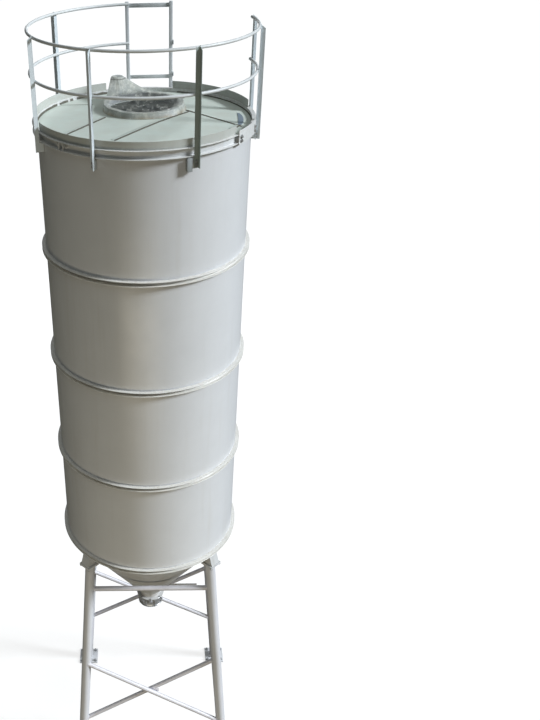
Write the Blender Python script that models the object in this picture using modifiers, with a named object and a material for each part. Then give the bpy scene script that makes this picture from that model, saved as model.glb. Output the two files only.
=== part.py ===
# Cement silo: a welded steel bin in four courses on four battered tube legs,
# with a hopper cone, a butterfly valve, a rear ladder and a railed roof.
# Metres, +Z up. The origin is on the ground, on the axis of the bin. The front looks along -Y.
# Azimuths are in degrees from the front, positive towards +X.
import bpy
import bmesh
from math import acos, asin, atan2, cos, degrees, pi, radians, sin, sqrt
from mathutils import Matrix, Vector

# Driving dimensions
GAP = 0.0003
MERGE = 0.00005
ROUND_STEPS = 48

BIN_RADIUS = 1.250
PLATE = 0.005
COURSE_HEIGHT = 1.500
COURSES = 4
BIN_BOTTOM = 4.650
BIN_TOP = BIN_BOTTOM + COURSES * COURSE_HEIGHT

HOOP_REACH = 0.050
HOOP_HEIGHT = 0.058
HOOP_PLATE = 0.006
CURB_HEIGHT = 0.100
CURB_DROP = 0.055
CURB_SEAM = 0.0009
CURB_LENGTHS = (("curb_rear_right", 60.0, 112.5), ("curb_rear_left", 172.5, 142.5), ("curb_front", -45.0, 97.5))
COVER_SPAN = (52.5, 22.5)
COVER_RISE = 0.045
COVER_DROP = 0.015

CONE_DEPTH = 1.600
CONE_COLLAR = 0.020
OUTLET_RADIUS = 0.165
OUTLET_NECK = 0.060
OUTLET_FLANGE_RADIUS = 0.215
CONE_PLATE = 0.005

ROOF_RISE = 0.045
ROOF_EYE = 0.030
FILTER_RADIUS = 0.430
FILTER_PLACE = (0.0, 0.370)
FILTER_HEIGHT = 0.055
FILTER_FLANGE = 0.035
STUB_RADIUS = 0.052
STUB_PLACE = (-0.322, 0.930)
STUB_HEIGHT = 0.225
STUB_LIP = 0.008
STUB_FLANGE = 0.018
FILM = 0.003
FILM_SLACK = 0.016
FILM_RINGS = 6
FILM_SPOKES = 60
FILM_FALL = 0.400
FILM_CURVE = 1.7
FILM_SPACING = 1.3
FILM_CLEARANCE = 0.0005
FILM_HEM_FLARE = 0.035
FILM_HEM_HEIGHT = 0.004

TOE_HEIGHT = 0.090
TOE_PLATE = 0.005
TOE_RADIUS = BIN_RADIUS + 0.017
TOE_SPANS = (("toe_board_front", -68.0, 120.5), ("toe_board_rear_left", -158.0, 86.0),
             ("toe_board_rear_right", 102.0, 61.0))

RAIL_TUBE = 0.017
TOP_RAIL_RISE = 1.039
MID_RAIL_RISE = 0.584
POST_ANGLE = 0.050
POST_PLATE = 0.005
POST_TOP_RISE = 1.062
POST_DROP = 0.180
POST_AZIMUTHS = (-127.5, -65.5, -25.0, 25.0, 79.5, 104.0)
POST_CLEAT = 0.100
POST_CLEAT_REACH = 0.060
POST_INSET = 0.001
POST_FLAT_SLOPE = 0.030
POST_FIN_TOP = (0.040, 0.005)
RAIL_OVERRUN = 0.9
RAIL_STEP = 7.5
RAIL_BITE = 0.004

LADDER_LEFT = -0.190
LADDER_RIGHT = 0.350
STILE_WIDTH = 0.045
STILE_DEPTH = 0.030
RUNG_RADIUS = 0.012
RUNG_PITCH = 0.300
LADDER_FOOT = 2.550
RUNG_CLEAR_OF_FOOT = 0.100
SILL_RISE = 0.170
SILL_HEIGHT = 0.045
TIE_DROP_FROM_TOP = 0.045
TIE_HEIGHT = 0.050
LADDER_FLAT = 0.008
LADDER_BRACKET_HEIGHTS = (5.40, 7.10, 8.60, 10.10)
BRACKET_BAR = 0.040
STAND_OFF = 0.160

LEG_RADIUS = 0.073
LEG_TOP_REACH = 0.860
LEG_BATTER = 0.0742
LEG_PLATE = 0.024
LEG_HEAD_DROP = 0.205
LEG_HEAD_PLATE = 0.200
FOOT_PLATE = 0.340
HEAD_RADIUS = 1.257
SEAT_PLATE = 0.014
GUSSET_PLATE = 0.012
GUSSET_SPACING = 0.132
SEAT_FACE_WIDTH = 0.150
SEAT_FACE_INSET = 0.004

TIE_RADIUS = 0.038
TIE_DROP = 0.690
BRACE_RADIUS = 0.035
BRACE_TOP_DROP = 2.170
BRACE_LOW_DROP = 3.500

VALVE_HEIGHT = 0.180
VALVE_WALL = 0.020
VALVE_RIM = 0.010
LOWER_FLANGE_INSET = 0.020
BOSS_RADIUS = 0.030
BOSS_REACH = 0.015
STEM_RADIUS = 0.014
STEM_OVERHANG = 0.005
STEM_CLEARANCE = 0.001
DISC_CLEARANCE = 0.006
DISC_THICKNESS = 0.014
LEVER_REACH = 0.770
LEVER_THICKNESS = 0.010
LEVER_WIDTH = 0.034
LEVER_BLOCK = (0.230, 0.024, 0.050)
LEVER_BLOCK_START = 0.020
LEVER_LAP = 0.010
HUB_RADIUS = 0.034
HUB_LENGTH = 0.036
HUB_STANDOFF = 0.012
HUB_END_PLAY = 0.004

# Heights and radii that follow
HOOP_RADIUS = BIN_RADIUS + HOOP_REACH
POST_FACE = HOOP_RADIUS + GAP
RAIL_RADIUS = HOOP_RADIUS - RAIL_TUBE
STILE_FACE = sqrt(HOOP_RADIUS ** 2 - (LADDER_LEFT + STILE_WIDTH / 2) ** 2) + GAP
CURB_LOW = BIN_TOP - CURB_DROP
CURB_HIGH = CURB_LOW + CURB_HEIGHT
CONE_LOW = BIN_BOTTOM - GAP - CONE_DEPTH
FLANGE_TOP = CONE_LOW - OUTLET_NECK
VALVE_TOP = FLANGE_TOP - CONE_PLATE - GAP
VALVE_AXIS = VALVE_TOP - VALVE_HEIGHT / 2
ROOF_CROWN = BIN_TOP + ROOF_RISE
TOP_RAIL = BIN_TOP + TOP_RAIL_RISE
MID_RAIL = BIN_TOP + MID_RAIL_RISE
CORNERS = ((1, -1), (1, 1), (-1, 1), (-1, -1))
CORNER_NAMES = ("front_right", "rear_right", "rear_left", "front_left")


def named_collection(name):
    collection = bpy.data.collections.get(name) or bpy.data.collections.new(name)
    if collection.name not in bpy.context.scene.collection.children:
        bpy.context.scene.collection.children.link(collection)
    return collection


def paint(name, colour, roughness, metallic):
    material = bpy.data.materials.new(name)
    material.use_nodes = True
    shader = material.node_tree.nodes["Principled BSDF"]
    shader.inputs["Base Color"].default_value = (*colour, 1.0)
    shader.inputs["Roughness"].default_value = roughness
    shader.inputs["Metallic"].default_value = metallic
    material.diffuse_color = (*colour, 1.0)
    return material


def add_object(name, data, collection, material=None):
    item = bpy.data.objects.new(name, data)
    collection.objects.link(item)
    if material is not None:
        item.data.materials.append(material)
    return item


def smooth(item):
    item.data.shade_smooth()
    item.data.set_sharp_from_angle(angle=radians(35))


def as_cutter(item):
    item.hide_render = True
    item.display_type = "WIRE"
    return item


def modifier(item, kind, **settings):
    added = item.modifiers.new(kind.title(), kind)
    for key, value in settings.items():
        setattr(added, key, value)
    return added


def boolean(item, other, operation):
    modifier(item, "BOOLEAN", operation=operation, object=other, solver="EXACT")


def baked_mesh(item):
    # The evaluated shape as a plain mesh with its seams welded
    bpy.context.view_layer.update()
    seen = item.evaluated_get(bpy.context.evaluated_depsgraph_get())
    mesh = bpy.data.meshes.new_from_object(seen)
    work = bmesh.new()
    work.from_mesh(mesh)
    bmesh.ops.remove_doubles(work, verts=work.verts, dist=MERGE)
    work.to_mesh(mesh)
    work.free()
    return mesh


def as_mesh_object(item, collection):
    mesh = baked_mesh(item)
    name = item.name
    place = item.matrix_world.copy()
    bpy.data.objects.remove(item)
    made = add_object(name, mesh, collection)
    made.matrix_world = place
    return made


def turned_shell(name, profile, thickness, collection, material, start=None, sweep=360.0):
    # An open profile of (radius, height) points, swept about Z from an azimuth and given a thickness
    work = bmesh.new()
    points = [work.verts.new((radius, 0.0, height)) for radius, height in profile]
    for first, second in zip(points, points[1:]):
        work.edges.new((first, second))
    mesh = bpy.data.meshes.new(name)
    work.to_mesh(mesh)
    work.free()
    item = add_object(name, mesh, collection, material)
    steps = max(2, round(ROUND_STEPS * sweep / 360.0))
    closed = sweep >= 360.0
    modifier(item, "SCREW", angle=radians(sweep), steps=steps, render_steps=steps,
             use_merge_vertices=closed, merge_threshold=MERGE, use_smooth_shade=True)
    modifier(item, "SOLIDIFY", thickness=thickness, offset=-1.0, use_even_offset=True)
    if start is not None:
        item.rotation_euler.z = radians(start - 90.0)
    return item


def turned_solid(name, profile, collection, material=None, steps=ROUND_STEPS):
    # A closed profile of (radius, height) points, outer side first and downwards, turned about Z
    work = bmesh.new()
    points = [work.verts.new((radius, 0.0, height)) for radius, height in profile]
    for first, second in zip(points, points[1:] + points[:1]):
        work.edges.new((first, second))
    mesh = bpy.data.meshes.new(name)
    work.to_mesh(mesh)
    work.free()
    item = add_object(name, mesh, collection, material)
    modifier(item, "SCREW", angle=radians(360.0), steps=steps, render_steps=steps,
             use_merge_vertices=True, merge_threshold=MERGE, use_smooth_shade=True)
    return item


def cylinder(name, radius, length, collection, material=None, segments=16):
    work = bmesh.new()
    bmesh.ops.create_cone(work, cap_ends=True, segments=segments, radius1=radius, radius2=radius,
                          depth=length)
    mesh = bpy.data.meshes.new(name)
    work.to_mesh(mesh)
    work.free()
    item = add_object(name, mesh, collection, material)
    smooth(item)
    return item


def aim(item, start, end):
    start, end = Vector(start), Vector(end)
    turn = (end - start).to_track_quat("Z", "Y").to_matrix().to_4x4()
    item.matrix_world = Matrix.Translation((start + end) / 2) @ turn


def box(name, size, place, collection, material=None):
    work = bmesh.new()
    bmesh.ops.create_cube(work, size=1.0)
    bmesh.ops.scale(work, vec=Vector(size), verts=work.verts)
    mesh = bpy.data.meshes.new(name)
    work.to_mesh(mesh)
    work.free()
    item = add_object(name, mesh, collection, material)
    item.location = place
    return item


def outline_plate(name, outline, thickness, collection, material=None):
    # A flat outline in local X and Y, given a thickness along local Z
    curve = bpy.data.curves.new(name, "CURVE")
    curve.dimensions = "2D"
    curve.fill_mode = "BOTH"
    curve.extrude = thickness / 2
    spline = curve.splines.new("POLY")
    spline.points.add(len(outline) - 1)
    for point, (x, y) in zip(spline.points, outline):
        point.co = (x, y, 0.0, 1.0)
    spline.use_cyclic_u = True
    return add_object(name, curve, collection, material)


def rail_tube(name, radius, height, first, last, tube, collection, material):
    # A bent tube that follows the curb from one azimuth to another
    curve = bpy.data.curves.new(name, "CURVE")
    curve.dimensions = "3D"
    curve.bevel_depth = tube
    curve.bevel_resolution = 2
    curve.use_fill_caps = True
    stops = [first, *POST_AZIMUTHS, last]
    azimuths = [first]
    for start, end in zip(stops, stops[1:]):
        count = max(1, round((end - start) / RAIL_STEP))
        azimuths += [start + (end - start) * index / count for index in range(1, count + 1)]
    spline = curve.splines.new("POLY")
    spline.points.add(len(azimuths) - 1)
    for azimuth, point in zip(azimuths, spline.points):
        angle = radians(azimuth)
        point.co = (radius * sin(angle), -radius * cos(angle), height, 1.0)
    return add_object(name, curve, collection, material)


def leg_reach(drop):
    return LEG_TOP_REACH + LEG_BATTER * drop


def leg_point(corner, drop):
    reach = leg_reach(drop)
    return Vector((corner[0] * reach, corner[1] * reach, BIN_BOTTOM - drop))


def hoop_profile(low, high):
    outer = HOOP_RADIUS
    web = BIN_RADIUS + GAP + HOOP_PLATE
    return ((outer, high - HOOP_PLATE), (web, high - HOOP_PLATE),
            (web, low + HOOP_PLATE), (outer, low + HOOP_PLATE))


def make_courses(parts, white):
    for number in range(COURSES):
        low = BIN_BOTTOM + number * COURSE_HEIGHT
        high = low + COURSE_HEIGHT - GAP
        if number == COURSES - 1:
            high -= PLATE
        turned_shell(f"shell_course_{number + 1}", ((BIN_RADIUS, high), (BIN_RADIUS, low)),
                     PLATE, parts, white, start=0.0)


def make_hoops(parts, white):
    for number in range(COURSES):
        middle = BIN_BOTTOM + number * COURSE_HEIGHT
        profile = hoop_profile(middle - HOOP_HEIGHT / 2, middle + HOOP_HEIGHT / 2)
        name = "base_hoop" if number == 0 else f"seam_hoop_{number}"
        turned_shell(name, profile, HOOP_PLATE, parts, white, start=0.0)


def make_curb(parts, white):
    # Rolled channel round the roof edge in three lengths, and the cover plate at its open end
    profile = hoop_profile(CURB_LOW, CURB_HIGH)
    seam = degrees(CURB_SEAM / BIN_RADIUS)
    for number, (name, start, sweep) in enumerate(CURB_LENGTHS):
        turned_shell(name, profile, HOOP_PLATE, parts, white, start=start + number * seam, sweep=sweep)
    radius = POST_FACE + HOOP_PLATE
    start, sweep = COVER_SPAN
    turned_shell("curb_cover_plate", ((radius, CURB_HIGH + COVER_RISE), (radius, CURB_LOW - COVER_DROP)),
                 HOOP_PLATE, parts, white, start=start + len(CURB_LENGTHS) * seam, sweep=sweep)


def make_toe_boards(parts, white):
    low = CURB_HIGH + GAP
    profile = ((TOE_RADIUS, low + TOE_HEIGHT), (TOE_RADIUS, low))
    for name, start, sweep in TOE_SPANS:
        turned_shell(name, profile, TOE_PLATE, parts, white, start=start, sweep=sweep)


def make_roof(parts, cutters, white):
    # A low cone with a round opening behind its middle, and a collar whose foot is cut to the cone
    edge = BIN_RADIUS - GAP
    inner = ROOF_CROWN - ROOF_RISE * ROOF_EYE / edge
    roof = turned_solid("roof_plate", ((edge, BIN_TOP), (edge, BIN_TOP - PLATE), (ROOF_EYE, inner - PLATE),
                                       (ROOF_EYE, inner)), parts, white)
    opening = cylinder("filter_opening", FILTER_RADIUS, 1.0, cutters, segments=ROUND_STEPS)
    opening.location = (*FILTER_PLACE, ROOF_CROWN)
    top = ROOF_CROWN + FILTER_HEIGHT
    wall = FILTER_RADIUS + PLATE
    rim = FILTER_RADIUS + FILTER_FLANGE
    foot = BIN_TOP - PLATE
    collar = turned_solid("filter_collar", ((rim, top), (rim, top - PLATE), (wall, top - PLATE), (wall, foot),
                                            (FILTER_RADIUS, foot), (FILTER_RADIUS, top)), parts, white)
    collar.location = (*FILTER_PLACE, 0.0)
    bed = turned_solid("collar_bed", ((edge, BIN_TOP + GAP), (edge, BIN_TOP - FILTER_FLANGE),
                                      (ROOF_EYE, BIN_TOP - FILTER_FLANGE), (ROOF_EYE, inner + GAP)), cutters)
    for cutter in (opening, bed):
        as_cutter(cutter)
    boolean(roof, opening, "DIFFERENCE")
    boolean(collar, bed, "DIFFERENCE")
    return top


def make_stub(parts, white):
    reach = sqrt(STUB_PLACE[0] ** 2 + STUB_PLACE[1] ** 2)
    foot = ROOF_CROWN - ROOF_RISE * (reach - STUB_RADIUS) / BIN_RADIUS + GAP
    top = ROOF_CROWN + STUB_HEIGHT
    flange = STUB_RADIUS + STUB_LIP
    under = top - STUB_FLANGE
    profile = ((flange, top), (flange, under), (STUB_RADIUS, under), (STUB_RADIUS, foot),
               (STUB_RADIUS - PLATE, foot), (STUB_RADIUS - PLATE, top))
    stub = turned_solid("relief_stub", profile, parts, white, steps=24)
    stub.location = (*STUB_PLACE, 0.0)
    return top


def film_reach(turn):
    # How far the film's plan outline lies from the stub, turned from the line to the collar's middle
    far = FILTER_RADIUS + FILTER_FLANGE + FILM_SLACK
    near = STUB_RADIUS + STUB_LIP + FILM_SLACK
    span = (Vector(STUB_PLACE) - Vector(FILTER_PLACE)).length
    side = pi - acos((far - near) / span)
    touch = atan2(far * sin(side), span + far * cos(side))
    if abs(turn) > side:
        return near
    if abs(turn) > touch:
        return near / cos(side - abs(turn))
    return span * cos(turn) + sqrt(far ** 2 - (span * sin(turn)) ** 2)


def make_film(parts, film, collar_top, stub_top):
    # Plastic film that lies over the collar and rises to the top of the stub behind it
    peak = STUB_RADIUS + FILM_SLACK
    stub = Vector(STUB_PLACE)
    to_collar = atan2(FILTER_PLACE[1] - stub.y, FILTER_PLACE[0] - stub.x)
    work = bmesh.new()
    grid = [[] for _ in range(FILM_RINGS + 1)]
    for spoke in range(FILM_SPOKES):
        turn = 2 * pi * spoke / FILM_SPOKES - pi
        heading = Vector((cos(to_collar + turn), sin(to_collar + turn)))
        reach = film_reach(turn)
        for ring in range(FILM_RINGS):
            away = peak + (reach - peak) * (ring / (FILM_RINGS - 1)) ** FILM_SPACING
            flat = stub + heading * away
            lift = (stub_top - collar_top) * max(0.0, 1.0 - (away - peak) / FILM_FALL) ** FILM_CURVE
            grid[ring].append(work.verts.new((*flat, collar_top + FILM + FILM_CLEARANCE + lift)))
        flat = stub + heading * (reach + FILM_HEM_FLARE)
        hem = ROOF_CROWN - ROOF_RISE * flat.length / BIN_RADIUS + FILM_HEM_HEIGHT
        grid[FILM_RINGS].append(work.verts.new((*flat, hem)))
    work.faces.new(grid[0])
    for upper, lower in zip(grid, grid[1:]):
        for index in range(FILM_SPOKES):
            after = (index + 1) % FILM_SPOKES
            work.faces.new((upper[index], lower[index], lower[after], upper[after]))
    bmesh.ops.recalc_face_normals(work, faces=work.faces)
    mesh = bpy.data.meshes.new("film_cover")
    work.to_mesh(mesh)
    work.free()
    cover = add_object("film_cover", mesh, parts, film)
    smooth(cover)
    modifier(cover, "SOLIDIFY", thickness=FILM, offset=-1.0, use_even_offset=True)


def make_cone(parts, white):
    high = BIN_BOTTOM - GAP
    profile = ((BIN_RADIUS, high), (BIN_RADIUS, high - CONE_COLLAR), (OUTLET_RADIUS, CONE_LOW),
               (OUTLET_RADIUS, FLANGE_TOP), (OUTLET_FLANGE_RADIUS, FLANGE_TOP))
    turned_shell("hopper_cone", profile, CONE_PLATE, parts, white, start=0.0)


def make_valve(parts, cutters, steel, dark):
    bore = OUTLET_RADIUS - CONE_PLATE
    outer = bore + VALVE_WALL
    low = VALVE_TOP - VALVE_HEIGHT
    face = OUTLET_FLANGE_RADIUS
    low_face = face - LOWER_FLANGE_INSET
    rim = VALVE_RIM
    profile = ((face, VALVE_TOP), (face, VALVE_TOP - rim), (outer, VALVE_TOP - rim), (outer, low + rim),
               (low_face, low + rim), (low_face, low), (bore, low), (bore, VALVE_TOP))
    body = turned_solid("valve_body", profile, parts, steel)
    boss = cylinder("stem_boss", BOSS_RADIUS, 2 * (outer + BOSS_REACH), cutters, segments=20)
    boss.rotation_euler.x = radians(90)
    boss.location = (0, 0, VALVE_AXIS)
    core = cylinder("bore_core", bore, VALVE_HEIGHT * 2, cutters, segments=ROUND_STEPS)
    core.location = (0, 0, VALVE_AXIS)
    hole = cylinder("stem_hole", STEM_RADIUS + STEM_CLEARANCE, 1.0, cutters, segments=20)
    hole.rotation_euler.x = radians(90)
    hole.location = (0, 0, VALVE_AXIS)
    for cutter in (boss, core, hole):
        as_cutter(cutter)
    boolean(body, boss, "UNION")
    boolean(body, core, "DIFFERENCE")
    boolean(body, hole, "DIFFERENCE")

    pivot = bpy.data.objects.new("valve_stem_axis", None)
    parts.objects.link(pivot)
    pivot.location = (0, 0, VALVE_AXIS)
    disc_radius = bore - DISC_CLEARANCE
    disc = cylinder("valve_disc", disc_radius, DISC_THICKNESS, parts, steel, segments=40)
    front_end = -(outer + BOSS_REACH + STEM_OVERHANG)
    rear_end = outer + BOSS_REACH + HUB_STANDOFF + HUB_LENGTH
    stem = cylinder("stem_rod", STEM_RADIUS, rear_end - front_end, cutters, segments=20)
    stem.rotation_euler.x = radians(90)
    stem.location = (0, (rear_end + front_end) / 2, VALVE_AXIS)
    as_cutter(stem)
    disc.parent = pivot
    boolean(disc, stem, "UNION")

    hub = cylinder("valve_lever", HUB_RADIUS, HUB_LENGTH - HUB_END_PLAY, parts, dark, segments=24)
    hub.parent = pivot
    hub.rotation_euler.x = radians(90)
    hub_middle = rear_end - HUB_LENGTH / 2
    hub.location = (0, hub_middle, 0)
    block_end = LEVER_BLOCK_START + LEVER_BLOCK[0]
    block = box("lever_block", LEVER_BLOCK, ((LEVER_BLOCK_START + block_end) / 2, hub_middle, VALVE_AXIS),
                cutters)
    arm_start = block_end - LEVER_LAP
    arm = box("lever_arm", (LEVER_REACH - arm_start, LEVER_THICKNESS, LEVER_WIDTH),
              ((LEVER_REACH + arm_start) / 2, hub_middle, VALVE_AXIS), cutters)
    bore_cut = cylinder("hub_bore", STEM_RADIUS + GAP, 3 * HUB_LENGTH, cutters, segments=20)
    bore_cut.rotation_euler.x = radians(90)
    bore_cut.location = (0, hub_middle, VALVE_AXIS)
    for cutter in (block, arm, bore_cut):
        as_cutter(cutter)
    boolean(hub, block, "UNION")
    boolean(hub, arm, "UNION")
    boolean(hub, bore_cut, "DIFFERENCE")


def make_leg_cutters(cutters):
    made = []
    for corner, label in zip(CORNERS, CORNER_NAMES):
        tube = cylinder(f"leg_clearance_{label}", LEG_RADIUS + GAP, 1.0, cutters, segments=24)
        start = leg_point(corner, 0.0)
        end = leg_point(corner, BIN_BOTTOM)
        tube.data.transform(Matrix.Diagonal((1, 1, (end - start).length, 1)))
        aim(tube, start, end)
        made.append(as_cutter(tube))
    return made


def make_legs(parts, cutters, white):
    for corner, label in zip(CORNERS, CORNER_NAMES):
        head = leg_point(corner, LEG_HEAD_DROP)
        foot = leg_point(corner, BIN_BOTTOM - LEG_PLATE / 2)
        leg = cylinder(f"leg_{label}", LEG_RADIUS, (head - foot).length, parts, white, segments=24)
        aim(leg, head, foot)
        base = box(f"foot_plate_{label}", (FOOT_PLATE, FOOT_PLATE, LEG_PLATE),
                   (foot.x, foot.y, LEG_PLATE / 2), cutters)
        heading = atan2(corner[1], corner[0])
        cap = box(f"head_plate_{label}", (LEG_HEAD_PLATE, LEG_HEAD_PLATE, LEG_PLATE),
                  (HEAD_RADIUS * cos(heading), HEAD_RADIUS * sin(heading), head.z), cutters)
        cap.rotation_euler.z = heading
        for plate in (base, cap):
            as_cutter(plate)
            boolean(leg, plate, "UNION")


def make_brackets(parts, cutters, white):
    # Seats between the leg heads and the base hoop: a base plate, two gussets and a sloping outer plate
    low = BIN_BOTTOM - LEG_HEAD_DROP + LEG_PLATE / 2 + GAP
    high = BIN_BOTTOM - HOOP_HEIGHT / 2 - GAP
    inner = HEAD_RADIUS - LEG_HEAD_PLATE / 2
    outer = HEAD_RADIUS + LEG_HEAD_PLATE / 2
    inset = SEAT_FACE_INSET
    shell = box("bracket_seat", (LEG_HEAD_PLATE, LEG_HEAD_PLATE, SEAT_PLATE),
                (HEAD_RADIUS, 0, low + SEAT_PLATE / 2), cutters)
    pieces = []
    gusset = ((inner + inset, low), (outer - 3 * inset, low), (HOOP_RADIUS - 1.5 * inset, high),
              (BIN_RADIUS + inset, high))
    for side in (-1, 1):
        web = outline_plate(f"bracket_gusset_{side}", gusset, GUSSET_PLATE, cutters)
        web.rotation_euler.x = radians(90)
        web.location = (0, side * GUSSET_SPACING / 2, 0)
        pieces.append(web)
    foot, head = outer - inset, HOOP_RADIUS - inset / 4
    skin = ((foot - GUSSET_PLATE, low), (foot, low), (head, high), (head - GUSSET_PLATE, high))
    face = outline_plate("bracket_face", skin, SEAT_FACE_WIDTH, cutters)
    face.rotation_euler.x = radians(90)
    pieces.append(face)
    for piece in pieces:
        solid = as_cutter(as_mesh_object(piece, cutters))
        boolean(shell, solid, "UNION")
    mesh = baked_mesh(shell)
    place = shell.matrix_world.copy()
    mesh.transform(place)
    bpy.data.objects.remove(shell)
    mesh.materials.append(white)
    for corner, label in zip(CORNERS, CORNER_NAMES):
        seat = add_object(f"leg_bracket_{label}", mesh, parts)
        seat.rotation_euler.z = atan2(corner[1], corner[0])


def make_bars(parts, legs, white):
    sides = (("right", 0, 1, (1, 0)), ("rear", 1, 2, (0, 1)), ("left", 2, 3, (-1, 0)), ("front", 3, 0, (0, -1)))
    for side, first, second, outward in sides:
        start, end = leg_point(CORNERS[first], TIE_DROP), leg_point(CORNERS[second], TIE_DROP)
        bar = cylinder(f"tie_bar_{side}", TIE_RADIUS, (end - start).length, parts, white, segments=16)
        aim(bar, start, end)
        lean = Vector((outward[0], outward[1], 0))
        for label, drops, shift in (("outer", (BRACE_TOP_DROP, BRACE_LOW_DROP), 1),
                                    ("inner", (BRACE_LOW_DROP, BRACE_TOP_DROP), -1)):
            offset = lean * shift * (BRACE_RADIUS + GAP)
            head = leg_point(CORNERS[first], drops[0]) + offset
            foot = leg_point(CORNERS[second], drops[1]) + offset
            brace = cylinder(f"brace_{side}_{label}", BRACE_RADIUS, (head - foot).length, parts, white,
                             segments=16)
            aim(brace, head, foot)
            for leg in (legs[first], legs[second]):
                boolean(brace, leg, "DIFFERENCE")
        for leg in (legs[first], legs[second]):
            boolean(bar, leg, "DIFFERENCE")


def make_posts(parts, cutters, wall, white):
    # Steel angles outside the curb, each with a cleat welded to the shell, their tops cut to a slope
    low, high = BIN_TOP - POST_DROP, BIN_TOP + POST_TOP_RISE
    half = POST_ANGLE / 2
    flat = outline_plate("post_flat", ((-half, low), (half, low), (half, high),
                                       (-half, high - POST_FLAT_SLOPE)), POST_PLATE, cutters)
    flat.matrix_world = Matrix.Translation((0, -POST_FACE - POST_PLATE / 2, 0)) @ Matrix.Rotation(
        radians(90), 4, "X")
    tab = -POST_CLEAT_REACH
    root = POST_PLATE / 3
    foot = low + POST_INSET
    outer_top, inner_top = (high - fall for fall in POST_FIN_TOP)
    fin = outline_plate("post_fin", ((tab, foot), (POST_ANGLE, foot), (POST_ANGLE, outer_top),
                                     (root, inner_top), (root, low + POST_CLEAT), (tab, low + POST_CLEAT)),
                        POST_PLATE, cutters)
    fin.matrix_world = (Matrix.Translation((half - POST_PLATE / 2 - POST_INSET, -POST_FACE, 0))
                        @ Matrix.Rotation(radians(-90), 4, "Z") @ Matrix.Rotation(radians(90), 4, "X"))
    flat = as_mesh_object(flat, cutters)
    fin = as_cutter(as_mesh_object(fin, cutters))
    boolean(flat, fin, "UNION")
    mesh = baked_mesh(flat)
    mesh.transform(flat.matrix_world)
    bpy.data.objects.remove(flat)
    mesh.materials.append(white)
    for number, azimuth in enumerate(POST_AZIMUTHS, start=1):
        post = add_object(f"rail_post_{number}", mesh, parts)
        post.rotation_euler.z = radians(azimuth)
        boolean(post, wall, "DIFFERENCE")


def make_rails(parts, white):
    left_end = degrees(asin((LADDER_LEFT + STILE_WIDTH / 2 - RAIL_BITE) / RAIL_RADIUS))
    first = -180.0 - left_end
    last = POST_AZIMUTHS[-1] + RAIL_OVERRUN
    rail_tube("top_rail", RAIL_RADIUS, TOP_RAIL, first, last, RAIL_TUBE, parts, white)
    rail_tube("mid_rail", RAIL_RADIUS, MID_RAIL, first, last, RAIL_TUBE, parts, white)


def make_ladder(parts, cutters, white):
    top = BIN_TOP + POST_TOP_RISE
    height = top - LADDER_FOOT
    middle_y = STILE_FACE + STILE_DEPTH / 2
    middle_x = (LADDER_LEFT + LADDER_RIGHT) / 2
    width = LADDER_RIGHT - LADDER_LEFT
    ladder = box("ladder", (STILE_WIDTH, STILE_DEPTH, height),
                 (LADDER_LEFT, middle_y, LADDER_FOOT + height / 2), parts, white)
    right = box("right_stile", (STILE_WIDTH, STILE_DEPTH, height),
                (LADDER_RIGHT, middle_y, LADDER_FOOT + height / 2), cutters)
    tie = box("walk_through_tie", (width, LADDER_FLAT, TIE_HEIGHT),
              (middle_x, middle_y, top - TIE_DROP_FROM_TOP), cutters)
    sill = box("walk_through_sill", (width, LADDER_FLAT, SILL_HEIGHT),
               (middle_x, middle_y, BIN_TOP + SILL_RISE), cutters)
    rungs = bmesh.new()
    height_now = BIN_TOP + SILL_RISE - RUNG_PITCH
    while height_now > LADDER_FOOT + RUNG_CLEAR_OF_FOOT:
        place = Matrix.Translation((middle_x, middle_y, height_now)) @ Matrix.Rotation(radians(90), 4, "Y")
        bmesh.ops.create_cone(rungs, cap_ends=True, segments=8, radius1=RUNG_RADIUS, radius2=RUNG_RADIUS,
                              depth=width, matrix=place)
        height_now -= RUNG_PITCH
    mesh = bpy.data.meshes.new("rungs")
    rungs.to_mesh(mesh)
    rungs.free()
    rung_set = add_object("rungs", mesh, cutters)
    for piece in (right, tie, sill, rung_set):
        as_cutter(piece)
        boolean(ladder, piece, "UNION")


def make_wall_cutter(cutters):
    # The space of the shell, with its clearance, which cleats and stand-offs stop at
    outer, inner = BIN_RADIUS + GAP, FILTER_RADIUS
    high, low = BIN_TOP + COURSE_HEIGHT, BIN_BOTTOM - COURSE_HEIGHT
    profile = ((outer, high), (outer, low), (inner, low), (inner, high))
    return as_cutter(turned_solid("shell_clearance", profile, cutters))


def make_ladder_brackets(parts, cutters, wall, white):
    # Stand-offs from the shell to the inner faces of the stiles
    strap_y = STILE_FACE - GAP - LADDER_FLAT / 2
    width = LADDER_RIGHT - LADDER_LEFT
    for number, height in enumerate(LADDER_BRACKET_HEIGHTS, start=1):
        strap = box(f"ladder_bracket_{number}", (width + STILE_WIDTH, LADDER_FLAT, BRACKET_BAR),
                    ((LADDER_LEFT + LADDER_RIGHT) / 2, strap_y, height), parts, white)
        for x in (LADDER_LEFT, LADDER_RIGHT):
            arm = box(f"stand_off_{number}_{x}", (LADDER_FLAT, STAND_OFF, BRACKET_BAR),
                      (x, strap_y - STAND_OFF / 2, height), cutters)
            as_cutter(arm)
            boolean(strap, arm, "UNION")
        boolean(strap, wall, "DIFFERENCE")


def clear_scene():
    for item in list(bpy.data.objects):
        bpy.data.objects.remove(item)


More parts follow.
